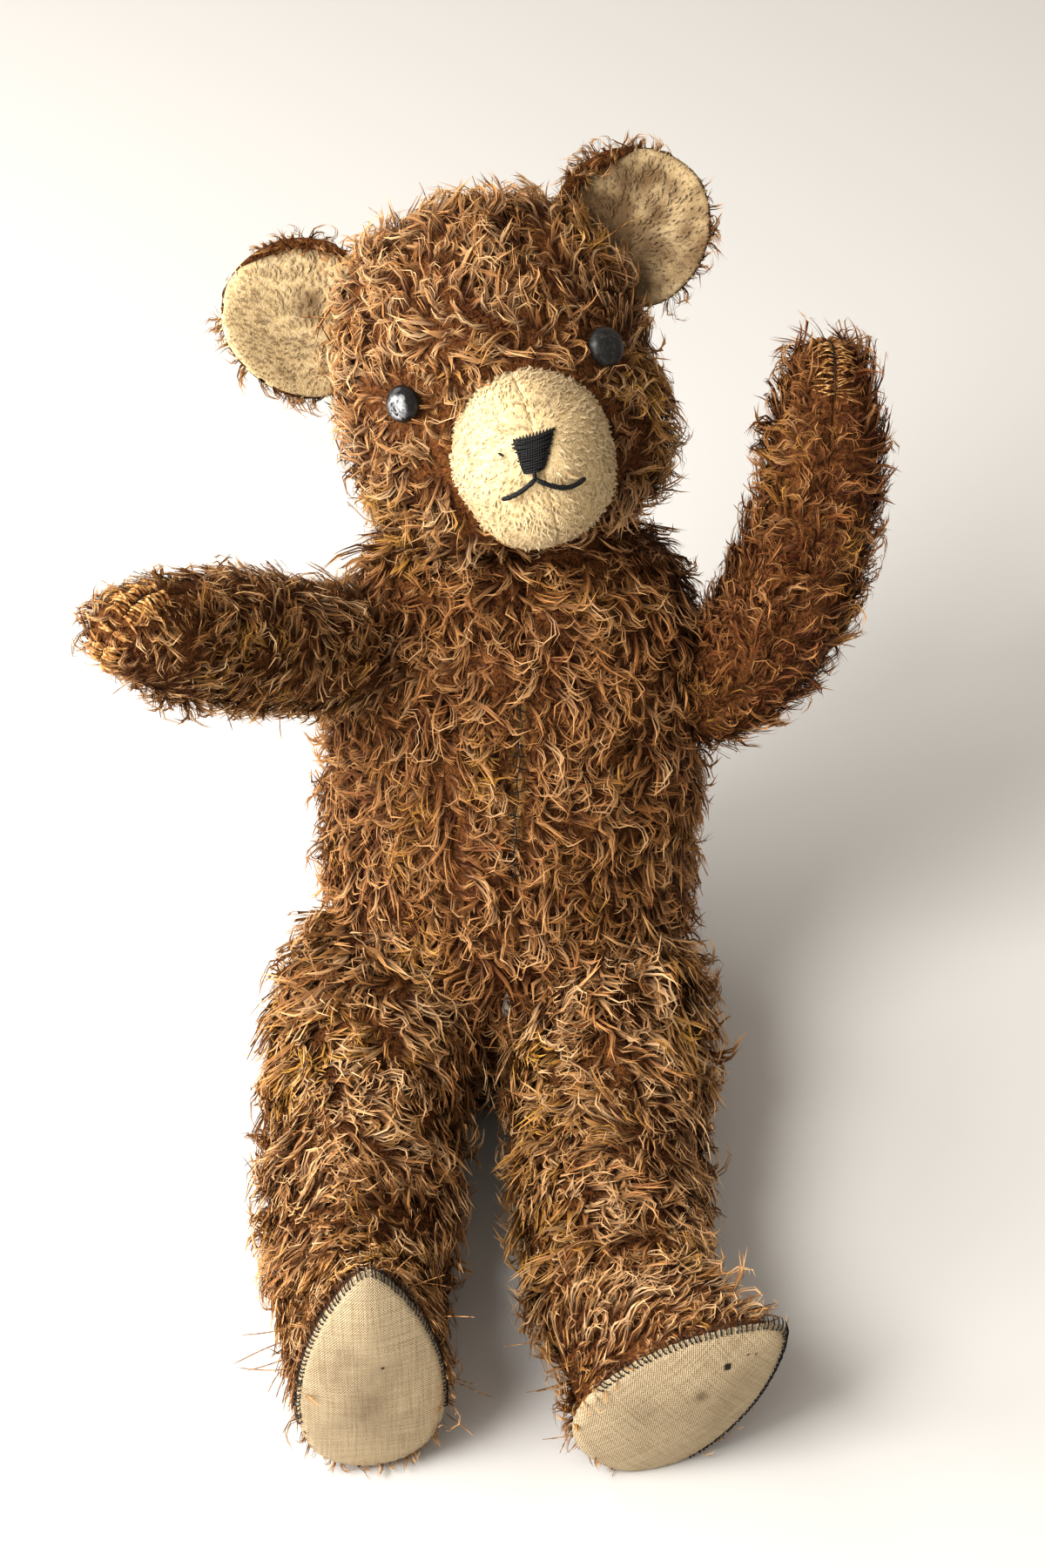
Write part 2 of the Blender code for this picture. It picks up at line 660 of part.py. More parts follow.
# ---- The bear -----------------------------------------------------------------------------------
def main():
    clear_scene()
    plush = material("brown_plush", (0.23, 0.115, 0.055), 0.9)
    cream = material("cream_plush", (0.72, 0.60, 0.38), 0.9)
    linen = material("linen", (0.66, 0.58, 0.43), 0.95)
    stuffing = material("stuffing", (0.70, 0.62, 0.48), 1.0)
    thread = material("black_thread", (0.02, 0.02, 0.025), 0.6)
    glass = material("eye_glass", (0.015, 0.014, 0.014), 0.15)

    torso_room = build_torso(plush, stuffing)

    raised = Limb(
        points=((0.062, 0.040, 0.118), (0.111, 0.040, 0.150), (0.108, 0.085, 0.240)),
        outward=(1, -0.1, -0.35),
        widths=ARM_HALF_WIDTHS,
        depths=ARM_HALF_WIDTHS,
        stations=arm_stations(),
    )
    build_arm("left", raised, torso_room, plush, stuffing)
    held_out = Limb(
        points=((-0.034, 0.048, 0.138), (-0.082, 0.010, 0.171), (-0.115, -0.050, 0.221)),
        outward=(-0.7, 0.6, 0.2),
        widths=ARM_HALF_WIDTHS,
        depths=ARM_HALF_WIDTHS,
        stations=arm_stations(),
    )
    build_arm("right", held_out, torso_room, plush, stuffing)

    straight = Limb(
        points=((-0.040, 0.026, 0.038), (-0.050, -0.110, 0.022), (-0.038, -0.183, 0.0310)),
        outward=(-1, 0, 0),
        widths=LEG_HALF_WIDTHS,
        depths=LEG_HALF_DEPTHS,
        stations=leg_stations(),
        toe=1,
    )
    build_leg("right", straight, torso_room, plush, linen, stuffing)
    turned_out = Limb(
        points=((0.039, 0.026, 0.038), (0.032, -0.112, 0.024), (0.050, -0.184, 0.0245)),
        outward=(1, 0, 0),
        widths=LEG_HALF_WIDTHS,
        depths=LEG_HALF_DEPTHS,
        stations=leg_stations(),
        toe=-1,
        turn=math.radians(-53),
    )
    build_leg("left", turned_out, torso_room, plush, linen, stuffing)

    build_head(torso_room, plush, cream, stuffing, thread, glass)


main()
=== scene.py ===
import json
import math

import bmesh
import bpy
import numpy as np
from mathutils import Matrix, Vector, noise

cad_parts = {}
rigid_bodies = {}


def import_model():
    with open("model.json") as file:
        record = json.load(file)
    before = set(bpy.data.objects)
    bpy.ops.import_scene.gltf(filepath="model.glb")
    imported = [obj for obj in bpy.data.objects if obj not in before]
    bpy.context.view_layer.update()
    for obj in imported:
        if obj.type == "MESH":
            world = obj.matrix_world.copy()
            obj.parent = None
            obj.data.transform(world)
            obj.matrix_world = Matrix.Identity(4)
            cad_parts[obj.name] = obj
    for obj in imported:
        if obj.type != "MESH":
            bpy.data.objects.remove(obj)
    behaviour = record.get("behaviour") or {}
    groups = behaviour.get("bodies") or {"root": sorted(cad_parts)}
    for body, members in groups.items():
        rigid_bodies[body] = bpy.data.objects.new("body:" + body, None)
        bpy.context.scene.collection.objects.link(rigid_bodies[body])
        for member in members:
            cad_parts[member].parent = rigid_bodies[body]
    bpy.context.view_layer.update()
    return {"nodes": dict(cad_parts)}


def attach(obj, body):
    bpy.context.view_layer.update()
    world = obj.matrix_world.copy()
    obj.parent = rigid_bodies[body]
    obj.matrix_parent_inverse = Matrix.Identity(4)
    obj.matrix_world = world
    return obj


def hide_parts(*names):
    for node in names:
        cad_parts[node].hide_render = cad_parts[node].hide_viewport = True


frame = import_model()
scene = bpy.context.scene

# ---- Table, lamps and camera --------------------------------------------------------------------
# A matt pale table top, with four soft lamps at the bear's right. The highest stands for a window,
# and the lowest shines along the table. The camera looks down at the bear from in front.
LAMP_AIM = Vector((0.0, 0.0, 0.10))
CAMERA_AIM = Vector((0.008, -0.029, 0.144))
CAMERA_RISE = math.radians(40)
CAMERA_REACH = 1.04


def stand(name, data):
    """Puts something new in the scene."""
    obj = bpy.data.objects.new(name, data)
    scene.collection.objects.link(obj)
    return obj


table_mesh = bpy.data.meshes.new("table_top")
table_mesh.from_pydata([(-4, -4, 0), (4, -4, 0), (4, 4, 0), (-4, 4, 0)], [], [(0, 1, 2, 3)])
table_top = stand("table_top", table_mesh)
table_paint = bpy.data.materials.new("pale_table")
table_paint.use_nodes = True
paint_shader = table_paint.node_tree.nodes["Principled BSDF"]
paint_shader.inputs["Base Color"].default_value = (0.61, 0.61, 0.61, 1)
paint_shader.inputs["Roughness"].default_value = 0.85
table_mesh.materials.append(table_paint)
for name, place, power in (
    ("window_lamp", (-0.80, -0.55, 1.10), 22),
    ("front_lamp", (-1.10, -1.10, 0.32), 15),
    ("side_lamp", (-1.35, -0.20, 0.60), 13),
    ("back_lamp", (-0.90, 0.70, 1.00), 6),
):
    light = bpy.data.lights.new(name, "AREA")
    light.shape = "DISK"
    light.size = 0.80
    light.energy = power
    light.color = (1.0, 0.975, 0.93)
    lamp = stand(name, light)
    lamp.location = place
    lamp.rotation_euler = (LAMP_AIM - lamp.location).to_track_quat("-Z", "Y").to_euler()
scene.world = bpy.data.worlds.new("room")
scene.world.use_nodes = True
room = scene.world.node_tree.nodes["Background"].inputs
room["Color"].default_value = (1.0, 0.91, 0.80, 1)
room["Strength"].default_value = 0.53
scene.view_settings.view_transform = "Standard"
scene.view_settings.gamma = 0.88
scene.view_settings.exposure = 0.22
camera = stand("camera", bpy.data.cameras.new("camera"))
camera.data.lens = 75
away = Vector((0, -math.cos(CAMERA_RISE), math.sin(CAMERA_RISE)))
camera.location = CAMERA_AIM + CAMERA_REACH * away
camera.rotation_euler = (CAMERA_AIM - camera.location).to_track_quat("-Z", "Y").to_euler()
scene.camera = camera

# ---- Torso --------------------------------------------------------------------------------------
# Two belly cloths and a back cloth of long brown plush, sewn inside out and turned over a firm
# stuffing. The pile has matted into small curled locks, and it has worn off along the belly seam.
SKIN = 0.0034  # how deep the backing cloth lies below the mean height of the matted pile
BACKING = 0.0012
CLOTH_RESTS = 0.0012  # how high the backing cloth stays above the table
PILE_RESTS = 0.0014
BELLY_ROUND = 0.062  # how much cloth one radian round the torso takes
TORSO_LENGTH = 0.196
TORSO_SUNK = 0.016
TORSO_FULLNESS = 0.44  # the lower it is, the fuller the ends are packed
TORSO_HALF_WIDTHS = (0.056, 0.0660, 0.0650, 0.0670, 0.0705, 0.070)
TORSO_HALF_DEPTHS = (0.050, 0.056, 0.055, 0.051, 0.046, 0.038)
TORSO_LEAN = math.radians(21)
TORSO_TURN = Matrix.Rotation(math.radians(3), 3, "Y") @ Matrix.Rotation(-TORSO_LEAN, 3, "X")
TORSO_SIDE, TORSO_AXIS, TORSO_FRONT = (
    np.array(TORSO_TURN @ Vector(v)) for v in ((1, 0, 0), (0, 0, 1), (0, -1, 0))
)


def smooth(u):
    u = np.clip(u, 0, 1)
    return u * u * (3 - 2 * u)


def between(values, u):
    """The value at u from 0 to 1 on a smooth curve through evenly spaced values."""
    values = np.asarray(values)
    last = len(values) - 1
    i = np.minimum((u * last).astype(int), last - 1)
    t = u * last - i
    slope_a = (values[i + 1] - values[np.maximum(i - 1, 0)]) / np.where(i > 0, 2, 1)
    slope_b = (values[np.minimum(i + 2, last)] - values[i]) / np.where(i + 2 <= last, 2, 1)
    rise = t * t * (3 - 2 * t)
    bend = slope_a * (t**3 - 2 * t * t + t) + slope_b * (t**3 - t * t)
    return values[i] * (1 - rise) + values[i + 1] * rise + bend


def unit(v):
    return v / np.maximum(np.linalg.norm(v, axis=-1, keepdims=True), 1e-9)


def facing(rows, middle):
    """Which way a grid of points faces, away from the given middle."""
    across = np.gradient(rows, axis=1)
    along = np.gradient(rows, axis=0)
    out = unit(np.cross(across, along))
    for end, next_row in ((0, 1), (-1, -2)):
        flat = np.ptp(rows[end], axis=0).max() < 1e-7
        if flat:
            out[end] = unit(out[next_row].mean(axis=0))
    if np.sum(out * (rows - middle)) < 0:
        out = -out
    return out


def lumps(points, size, height, seed):
    """Soft unevenness, as of packed stuffing, for each point."""
    shift = Vector((seed * 1.7, seed * 3.1, seed * 0.9))
    flat = points.reshape(-1, 3)
    found = [noise.noise(Vector(p) / size + shift) for p in flat]
    return height * np.array(found).reshape(points.shape[:-1])


def drawn_in(distance, depth, width):
    """How far a seam pulls the cloth in at a distance from it."""
    return depth * np.exp(-((np.abs(distance) / width) ** 1.4))


def give(mesh, name, values):
    kind = "FLOAT_VECTOR" if values.ndim == 2 else "FLOAT"
    layer = mesh.attributes.new(name, kind, "POINT")
    layer.data.foreach_set("vector" if values.ndim == 2 else "value", values.astype("f4").ravel())


def open_cloth(rows, out, extras):
    """A bmesh of the grid, facing the way that out gives, with extra values kept on its points."""
    count, wide = rows.shape[:2]
    here = np.arange(count * wide).reshape(count, wide)
    quads = np.stack([here[:-1, :-1], here[:-1, 1:], here[1:, 1:], here[1:, :-1]], -1).reshape(-1, 4)
    mesh = bpy.data.meshes.new("grid")
    mesh.from_pydata(rows.reshape(-1, 3).tolist(), [], quads.tolist())
    for key, values in extras.items():
        give(mesh, key, values.reshape((-1, 3) if values.ndim == 3 else -1))
    give(mesh, "out", out.reshape(-1, 3))
    bm = bmesh.new()
    bm.from_mesh(mesh)
    bpy.data.meshes.remove(mesh)
    bmesh.ops.remove_doubles(bm, verts=bm.verts, dist=1e-6)
    bmesh.ops.dissolve_degenerate(bm, edges=bm.edges, dist=1e-7)
    way = bm.verts.layers.float_vector["out"]
    bm.normal_update()
    turned = [f for f in bm.faces if f.normal.dot(f.verts[0][way] + f.verts[1][way]) < 0]
    bmesh.ops.reverse_faces(bm, faces=turned)
    return bm


def remove_faces(bm, unwanted):
    """Takes away the faces whose middles the given test finds, and what then hangs loose."""
    middles = np.array([f.calc_center_median() for f in bm.faces])
    found = unwanted(middles)
    gone = [f for f, is_gone in zip(bm.faces, found) if is_gone]
    bmesh.ops.delete(bm, geom=gone, context="FACES")


def piece_of(name, bm, material):
    """Makes a finished sheet a smooth object of its own."""
    mesh = bpy.data.meshes.new(name)
    bm.to_mesh(mesh)
    bm.free()
    mesh.attributes.remove(mesh.attributes["out"])
    mesh.materials.append(material)
    mesh.shade_smooth()
    return stand(name, mesh)


def cloth(name, bm, material, thick=BACKING):
    """Gives an open cloth its thickness, inwards, and makes it an object."""
    bm.normal_update()
    full = bm.verts.layers.float["pile"]
    outer, faces = list(bm.verts), list(bm.faces)
    edges = [e.link_loops[0] for e in bm.edges if e.is_boundary]
    under = {}
    for v in outer:
        low = bm.verts.new(v.co - v.normal * thick, v)
        low[full] = -1
        under[v] = low
    for f in faces:
        bm.faces.new([under[v] for v in reversed(f.verts)])
    for loop in edges:
        a, b = loop.vert, loop.link_loop_next.vert
        bm.faces.new((b, a, under[a], under[b]))
    return piece_of(name, bm, material)


class Nodes:
    """Adds nodes to a tree, and sets their inputs or joins them to others."""

    def __init__(self, tree):
        self.tree = tree

    def __call__(self, kind, inputs=None, **settings):
        node = self.tree.nodes.new(kind)
        for key, value in settings.items():
            setattr(node, key, value)
        self.join(node, inputs or {})
        return node

    def join(self, node, inputs):
        for key, value in inputs.items():
            if isinstance(value, bpy.types.Node):
                value = value.outputs[0]
            if isinstance(value, bpy.types.NodeSocket):
                self.tree.links.new(value, node.inputs[key])
            else:
                node.inputs[key].default_value = value

    def maths(self, operation, a, b=0.0, c=0.0, clamp=False):
        sums = {0: a, 1: b, 2: c}
        return self("ShaderNodeMath", sums, operation=operation, use_clamp=clamp).outputs[0]

    def times(self, a, b, plus=None, clamp=False):
        if plus is None:
            return self.maths("MULTIPLY", a, b, clamp=clamp)
        return self.maths("MULTIPLY_ADD", a, b, plus, clamp)

    def less(self, a, b, clamp=False):
        return self.maths("SUBTRACT", a, b, clamp=clamp)

    def noise(self, where, scale, detail, distortion=0.0, found="Fac"):
        sizes = {"Vector": where, "Scale": scale, "Detail": detail, "Distortion": distortion}
        return self("ShaderNodeTexNoise", sizes).outputs[found]


class Finish(Nodes):
    """A new material. Its grain lies in the space of the object, or on what the cloth carries."""

    def __init__(self, name):
        self.material = bpy.data.materials.new(name)
        self.material.use_nodes = True
        super().__init__(self.material.node_tree)
        self.place = self("ShaderNodeTexCoord").outputs["Object"]

    def grain(self, scale, detail, distortion=0.0):
        return self.noise(self.place, scale, detail, distortion)

    def carried(self, name):
        return self("ShaderNodeAttribute", attribute_name=name).outputs["Fac"]

    def tones(self, value, *stops):
        made = self("ShaderNodeValToRGB", {"Fac": value})
        bar = made.color_ramp
        while len(bar.elements) < len(stops):
            bar.elements.new(0.5)
        for element, (place, colour) in zip(bar.elements, stops):
            element.position = place
            element.color = (*colour, 1)
        return made.outputs["Color"]

    def mix(self, share, a, b):
        return self("ShaderNodeMix", {"Factor": share, 6: a, 7: b}, data_type="RGBA").outputs[2]

    def done(self, colour, rough, shine, relief=None, more=None):
        """Joins up the shader. The relief is given as its height, strength and depth."""
        inputs = {"Base Color": colour, "Roughness": rough, "Specular IOR Level": shine, **(more or {})}
        if relief:
            sizes = dict(zip(("Height", "Strength", "Distance"), relief))
            inputs["Normal"] = self("ShaderNodeBump", sizes)
        self.join(self.tree.nodes["Principled BSDF"], inputs)
        return self.material


class Pattern(Nodes):
    """A new tree that works on a mesh, with named inputs."""

    def __init__(self, name, **inputs):
        super().__init__(bpy.data.node_groups.new(name, "GeometryNodeTree"))
        face = self.tree.interface
        face.new_socket("Geometry", in_out="OUTPUT", socket_type="NodeSocketGeometry")
        for label, kind in {"Geometry": "Geometry", **inputs}.items():
            face.new_socket(label, in_out="INPUT", socket_type=f"NodeSocket{kind}")
        self.given = self("NodeGroupInput").outputs

    def carried(self, name, kind="FLOAT"):
        return self("GeometryNodeInputNamedAttribute", {"Name": name}, data_type=kind).outputs[0]


def plush_backing():
    """Painted shade, near-black among the roots on the backing cloth, and golden cloth where the pile has
    gone.
    """
    dye = Finish("brown_backing")
    fine = dye.grain(520.0, 3.0, 2.2)
    value = dye.times(fine, 0.65, dye.times(dye.grain(60.0, 3.0), 0.35, 0.0))
    # Painted shade: the roots are near-black, where the pile shades the backing cloth.
    roots = dye.tones(value, (0.36, (0.020, 0.004, 0.001)), (0.64, (0.22, 0.090, 0.030)))
    bare = dye.tones(fine, (0.35, (0.19, 0.070, 0.018)), (0.65, (0.56, 0.340, 0.120)))
    return dye.done(dye.mix(dye.carried("worn"), roots, bare), 0.92, 0.08, (fine, 0.9, 0.0015))


def plush_pile():
    """Old mohair: brown fibres, with golden and reddish ones among them. Painted shade darkens them
    towards their roots.
    """
    dye = Finish("brown_pile")
    fibre = dye.carried("fibre")
    value = dye.times(dye.carried("tuft"), 0.24, dye.times(fibre, 0.36, 0.05))
    value = dye.times(dye.grain(45.0, 2.0), 0.30, value)
    stripe = dye.maths("SINE", dye.times(fibre, 40.0, dye.times(dye.carried("strand"), 7.0)))
    value = dye.times(stripe, 0.07, value)
    # A positive faded value makes the pile paler and a negative one darker: dust, with painted light and
    # painted shade.
    value = dye.times(dye.carried("faded"), 0.10, value)
    brown = dye.tones(
        value,
        (0.14, (0.085, 0.014, 0.003)),
        (0.38, (0.31, 0.130, 0.039)),
        (0.60, (0.54, 0.288, 0.112)),
        (0.88, (0.75, 0.520, 0.295)),
    )
    gold = dye.times(dye.grain(28.0, 3.0), 1.4, -0.64)
    gold = dye.times(dye.times(fibre, -0.45, gold), 6.0, clamp=True)
    dyed = dye.mix(gold, brown, (0.60, 0.330, 0.065, 1))
    # Painted shade: each fibre darkens to near black towards its root, deep in the pile.
    clear_of_root_shade = dye.times(dye.carried("along"), 1.2, 0.0, clamp=True)
    return dye.done(dye.mix(clear_of_root_shade, (0.034, 0.004, 0.001, 1), dyed), 0.60, 0.16)


LOCK_STEPS = 24  # how finely the bend of a lock is worked out


def path_of(rise, swing, length):
    """A path from its slopes: how steeply it rises and which way it swings, all along it."""
    way = np.stack([np.cos(rise) * np.cos(swing), np.cos(rise) * np.sin(swing), np.sin(rise)], -1)
    return np.concatenate([[(0, 0, 0)], np.cumsum(way[:-1], axis=0)]) / LOCK_STEPS * length


def lock_of_pile(
    name, seed, curl, steep, length, fibres, width, spread, most_steps=4, palest=0.0, roll=1.0
):
    """One matted lock: flat fibres with a common bend, whose tips draw together."""
    rng = np.random.default_rng(seed)
    share = np.linspace(0, 1, LOCK_STEPS + 1)
    rise = steep * (1 - 1.5 * share) + rng.uniform(-0.05, 0.15)
    swing = curl * share**1.3 + rng.uniform(-0.9, 0.9) * np.sin(share * math.tau)
    points, faces, alongs, tones, strands = [], [], [], [], []
    for one in range(fibres):
        steps = max(2, most_steps - one % 2)
        reach = rng.uniform(0.65, 1.0)
        at = np.linspace(0, reach, steps + 1)
        own_rise = rise * rng.uniform(0.75, 1.15) + rng.uniform(-0.12, 0.12)
        own_swing = swing * rng.uniform(0.85, 1.15) + rng.uniform(-0.2, 0.2) * share
        own_swing = own_swing + rng.uniform(-0.08, 0.08)
        spine = path_of(own_rise, own_swing, length)
        core = np.stack([np.interp(at, share, spine[:, k]) for k in range(3)], -1)
        tangent = unit(np.gradient(core, axis=0))
        aside = unit(np.cross(np.array((0, 0, 1.0)), tangent))
        above = np.cross(tangent, aside)
        angle, radius = rng.uniform(0, math.tau), spread * math.sqrt(rng.uniform(0.05, 1))
        gather = (1 - 0.7 * at)[:, None]
        core = core + (aside * math.cos(angle) + above * math.sin(angle) * 0.6) * radius * gather
        wave = 0.05 * length * np.sin(at * rng.uniform(4, 8) + rng.uniform(0, 6))
        arch = rng.uniform(-0.08, 0.12) * length * at**2
        core += aside * (wave * at)[:, None] + above * arch[:, None]
        lean = roll * rng.uniform(-1.0, 1.0)
        flat = aside * math.cos(lean) + above * math.sin(lean)
        half = width / 2 * rng.uniform(0.75, 1.25) * (0.75 + 0.5 * np.sin(math.pi * at / reach))
        start = len(points)
        tone = palest + (1 - palest) * rng.uniform()
        for k in range(steps):
            points += [core[k] - flat[k] * half[k], core[k] + flat[k] * half[k]]
            alongs += [at[k], at[k]]
            tones += [tone, tone]
            strands += [-1, 1]
            if k:
                i = start + 2 * k
                faces.append((i - 2, i, i + 1, i - 1)[::-1])
        points.append(core[-1])
        alongs.append(at[-1])
        tones.append(tone)
        strands.append(0)
        i = start + 2 * steps - 2
        faces.append((i + 1, i + 2, i))
    mesh = bpy.data.meshes.new(name)
    mesh.from_pydata([tuple(p) for p in points], [], faces)
    give(mesh, "along", np.array(alongs))
    give(mesh, "fibre", np.array(tones))
    give(mesh, "strand", np.array(strands))
    mesh.shade_smooth()
    return bpy.data.objects.new(name, mesh)


def add_locks(made, kind, first_seed, bends, **shape):
    """Adds locks of one kind, which differ in how they curl and how steeply they stand."""
    for k, (curl, steep) in enumerate(bends):
        made.objects.link(lock_of_pile(f"{kind}_{k}", first_seed + k, curl, steep, **shape))


def pile_tree():
    """Scatters locks over a cloth, turns them the way it is combed, ruffles them, and makes them real."""
    sizes = dict.fromkeys(("Spacing", "Size", "Swirl", "Spread", "Ruffle", "Lowest", "Faded"), "Float")
    add = Pattern("sewn_pile", Locks="Collection", Kinds="Int", **sizes, Seed="Int", Pile="Material")
    given = add.given
    full = add.carried("pile")
    outer = add("FunctionNodeCompare", {0: full, 1: -0.25}, data_type="FLOAT", operation="GREATER_THAN")
    outside = add(
        "GeometryNodeSeparateGeometry",
        {"Geometry": given["Geometry"], "Selection": outer},
        domain="FACE",
    )
    full = add("ShaderNodeClamp", {"Value": full}).outputs[0]
    scatter = add(
        "GeometryNodeDistributePointsOnFaces",
        {
            "Mesh": outside,
            "Distance Min": given["Spacing"],
            "Density Max": 400000.0,
            "Density Factor": full,
            "Seed": given["Seed"],
        },
        distribute_method="POISSON",
    )
    index = add("GeometryNodeInputIndex").outputs[0]
    where = add("GeometryNodeInputPosition").outputs[0]

    def chance(low, high, seed):
        limits = {2: low, 3: high, "ID": index, "Seed": seed}
        return add("FunctionNodeRandomValue", limits, data_type="FLOAT").outputs[1]

    turn_to = "FunctionNodeAlignRotationToVector"
    upright = add(turn_to, {"Vector": scatter.outputs["Normal"]}, axis="Z")
    comb = add.carried("comb", "FLOAT_VECTOR")
    combed = add(turn_to, {"Rotation": upright, "Vector": comb}, axis="X", pivot_axis="Z")
    drift = add.less(add.noise(where, 48.0, 1.5), 0.5)
    turn = add.times(drift, add.times(given["Swirl"], 4.0))
    turn = add.times(chance(-1.0, 1.0, given["Seed"]), given["Spread"], turn)
    turn = add.times(turn, add.less(1.0, add.carried("calm"), clamp=True))
    yaw = add("FunctionNodeAxisAngleToRotation", {"Axis": (0, 0, 1), "Angle": turn})
    turned = add(
        "FunctionNodeRotateRotation", {"Rotation": combed, "Rotate By": yaw}, rotation_space="LOCAL"
    )
    clump = add.times(add.noise(where, 110.0, 1.0), 1.2, 0.4)
    scale = add.times(chance(0.72, 1.22, 7), add.times(clump, given["Size"]))
    scale = add.times(scale, add.times(full, 0.45, 0.55))
    scale = add.times(scale, add.less(1.0, add.carried("shorn")))
    kind = add("FunctionNodeRandomValue", {4: 0, "ID": index, "Seed": 11}, data_type="INT")
    add.join(kind, {5: add.less(given["Kinds"], 1.0)})
    marked = scatter
    # Each lock carries its tuft tone and the faded value, which paints dust, light and shade.
    for label, value in (("tuft", chance(0.0, 1.0, 19)), ("faded", given["Faded"])):
        marks = {"Geometry": marked, "Name": label, "Value": value}
        marked = add("GeometryNodeStoreNamedAttribute", marks, data_type="FLOAT", domain="POINT")
    locks = add(
        "GeometryNodeCollectionInfo",
        {"Collection": given["Locks"], "Separate Children": True, "Reset Children": True},
    )
    planted = add(
        "GeometryNodeInstanceOnPoints",
        {
            "Points": marked,
            "Instance": locks,
            "Pick Instance": True,
            "Instance Index": kind.outputs[2],
            "Rotation": turned,
            "Scale": scale,
        },
    )
    real = add("GeometryNodeRealizeInstances", {"Geometry": planted})
    wind = add.noise(where, 150.0, 1.0, found="Color")
    wind = add("ShaderNodeVectorMath", {0: wind, 1: (0.5, 0.5, 0.5)}, operation="SUBTRACT")
    push = add.times(add.times(add.carried("along"), 2.0), given["Ruffle"])
    wind = add("ShaderNodeVectorMath", {0: wind, "Scale": push}, operation="SCALE")
    moved = add("ShaderNodeVectorMath", {0: where, 1: wind}, operation="ADD")
    parts = add("ShaderNodeSeparateXYZ", {0: moved}).outputs
    lifted = add.maths("MAXIMUM", parts[2], given["Lowest"])
    moved = add("ShaderNodeCombineXYZ", {0: parts[0], 1: parts[1], 2: lifted})
    ruffled = add("GeometryNodeSetPosition", {"Geometry": real, "Position": moved})
    dyed = add("GeometryNodeSetMaterial", {"Geometry": ruffled, "Material": given["Pile"]})
    both = add("GeometryNodeJoinGeometry", {0: given["Geometry"]})
    add.join(both, {0: dyed})
    add("NodeGroupOutput", {"Geometry": both})
    return add.tree


def grown(obj, tree, **values):
    """Runs a tree on an object, with its named inputs set, and keeps the result as a plain mesh."""
    work = obj.modifiers.new(tree.name, "NODES")
    work.node_group = tree
    sockets = {s.name: s.identifier for s in tree.interface.items_tree if s.in_out == "INPUT"}
    for key, value in values.items():
        work[sockets[key]] = value
    graph = bpy.context.evaluated_depsgraph_get()
    mesh = bpy.data.meshes.new_from_object(obj.evaluated_get(graph), depsgraph=graph)
    obj.modifiers.clear()
    obj.data = mesh
    return obj


def sew_pile(obj, locks, pile, **sizes):
    return grown(obj, PILE_TREE, Locks=locks, Kinds=len(locks.objects), Pile=pile, **sizes)


def thread_tree():
    """Makes round threads of lines, as thick all along as their fullness says."""
    add = Pattern("laid_threads", Thickness="Float", Sides="Int", Thread="Material")
    given = add.given
    lines = add("GeometryNodeMeshToCurve", {"Mesh": given["Geometry"]})
    half = add.times(given["Thickness"], 0.5)
    ring = {"Resolution": given["Sides"], "Radius": half}
    ring = add("GeometryNodeCurvePrimitiveCircle", ring, mode="RADIUS")
    full = add.carried("fullness")
    tubes = {"Curve": lines, "Profile Curve": ring, "Scale": full, "Fill Caps": True}
    tubes = add("GeometryNodeCurveToMesh", tubes)
    real = add("GeometryNodeRealizeInstances", {"Geometry": tubes})
    dyed = add("GeometryNodeSetMaterial", {"Geometry": real, "Material": given["Thread"]})
    add("NodeGroupOutput", {"Geometry": dyed})
    return add.tree


def black_cotton():
    """Black cotton thread, with the twist of its plies and a little fading."""
    dye = Finish("black_thread")
    plies = {"Vector": dye.place, "Scale": 420.0, "Distortion": 3.0, "Detail": 2.0}
    twist = dye("ShaderNodeTexWave", plies).outputs["Fac"]
    value = dye.times(twist, dye.grain(900.0, 2.0))
    tone = dye.tones(value, (0.1, (0.003, 0.003, 0.004)), (0.7, (0.020, 0.020, 0.021)))
    return dye.done(tone, 0.55, 0.25, (twist, 0.5, 0.0002))


def threads(name, paths, thickness, material, sides=6):
    """Threads along lines of points, drawn thin at their ends."""
    edges, fullness, first = [], [], 0
    for path in paths:
        edges += [(first + k, first + k + 1) for k in range(len(path) - 1)]
        fullness += list(0.45 + 0.55 * np.minimum(1, 2 * np.sin(np.linspace(0, math.pi, len(path)))))
        first += len(path)
    mesh = bpy.data.meshes.new(name)
    mesh.from_pydata(np.concatenate(paths).tolist(), edges, [])
    give(mesh, "fullness", np.array(fullness))
    made = stand(name, mesh)
    grown(made, THREAD_TREE, Thickness=thickness, Sides=sides, Thread=material)
    made.data.shade_smooth()
    return made


THREAD_TREE = thread_tree()
BLACK_THREAD = black_cotton()
PILE_TREE = pile_tree()
BACKING_WITH_ROOT_SHADE = plush_backing()
BROWN_PILE = plush_pile()
SHAGGY = bpy.data.collections.new("shaggy_locks")
BENDS = ((0.3, 0.4), (-0.5, 0.5), (1.0, 0.4), (-1.1, 0.45))
BENDS += ((1.9, 0.5), (-0.2, 0.35), (0.7, 0.6), (-1.7, 0.4))
LOCK = {"length": 0.0165, "fibres": 5, "width": 0.00040, "spread": 0.0008}
add_locks(SHAGGY, "shaggy_lock", 40, BENDS, **LOCK)
BENDS = ((1.4, 0.75), (-2.2, 0.75))
LOCK = {"length": 0.0200, "fibres": 3, "width": 0.00034, "spread": 0.0009}
add_locks(SHAGGY, "long_wisp", 60, BENDS, **LOCK, most_steps=5, palest=0.75)
BENDS = ((2.2, 0.38), (-2.6, 0.38), (0.8, 0.38), (-1.0, 0.38), (3.2, 0.38))
LOCK = {"length": 0.0095, "fibres": 5, "width": 0.00075, "spread": 0.0016}
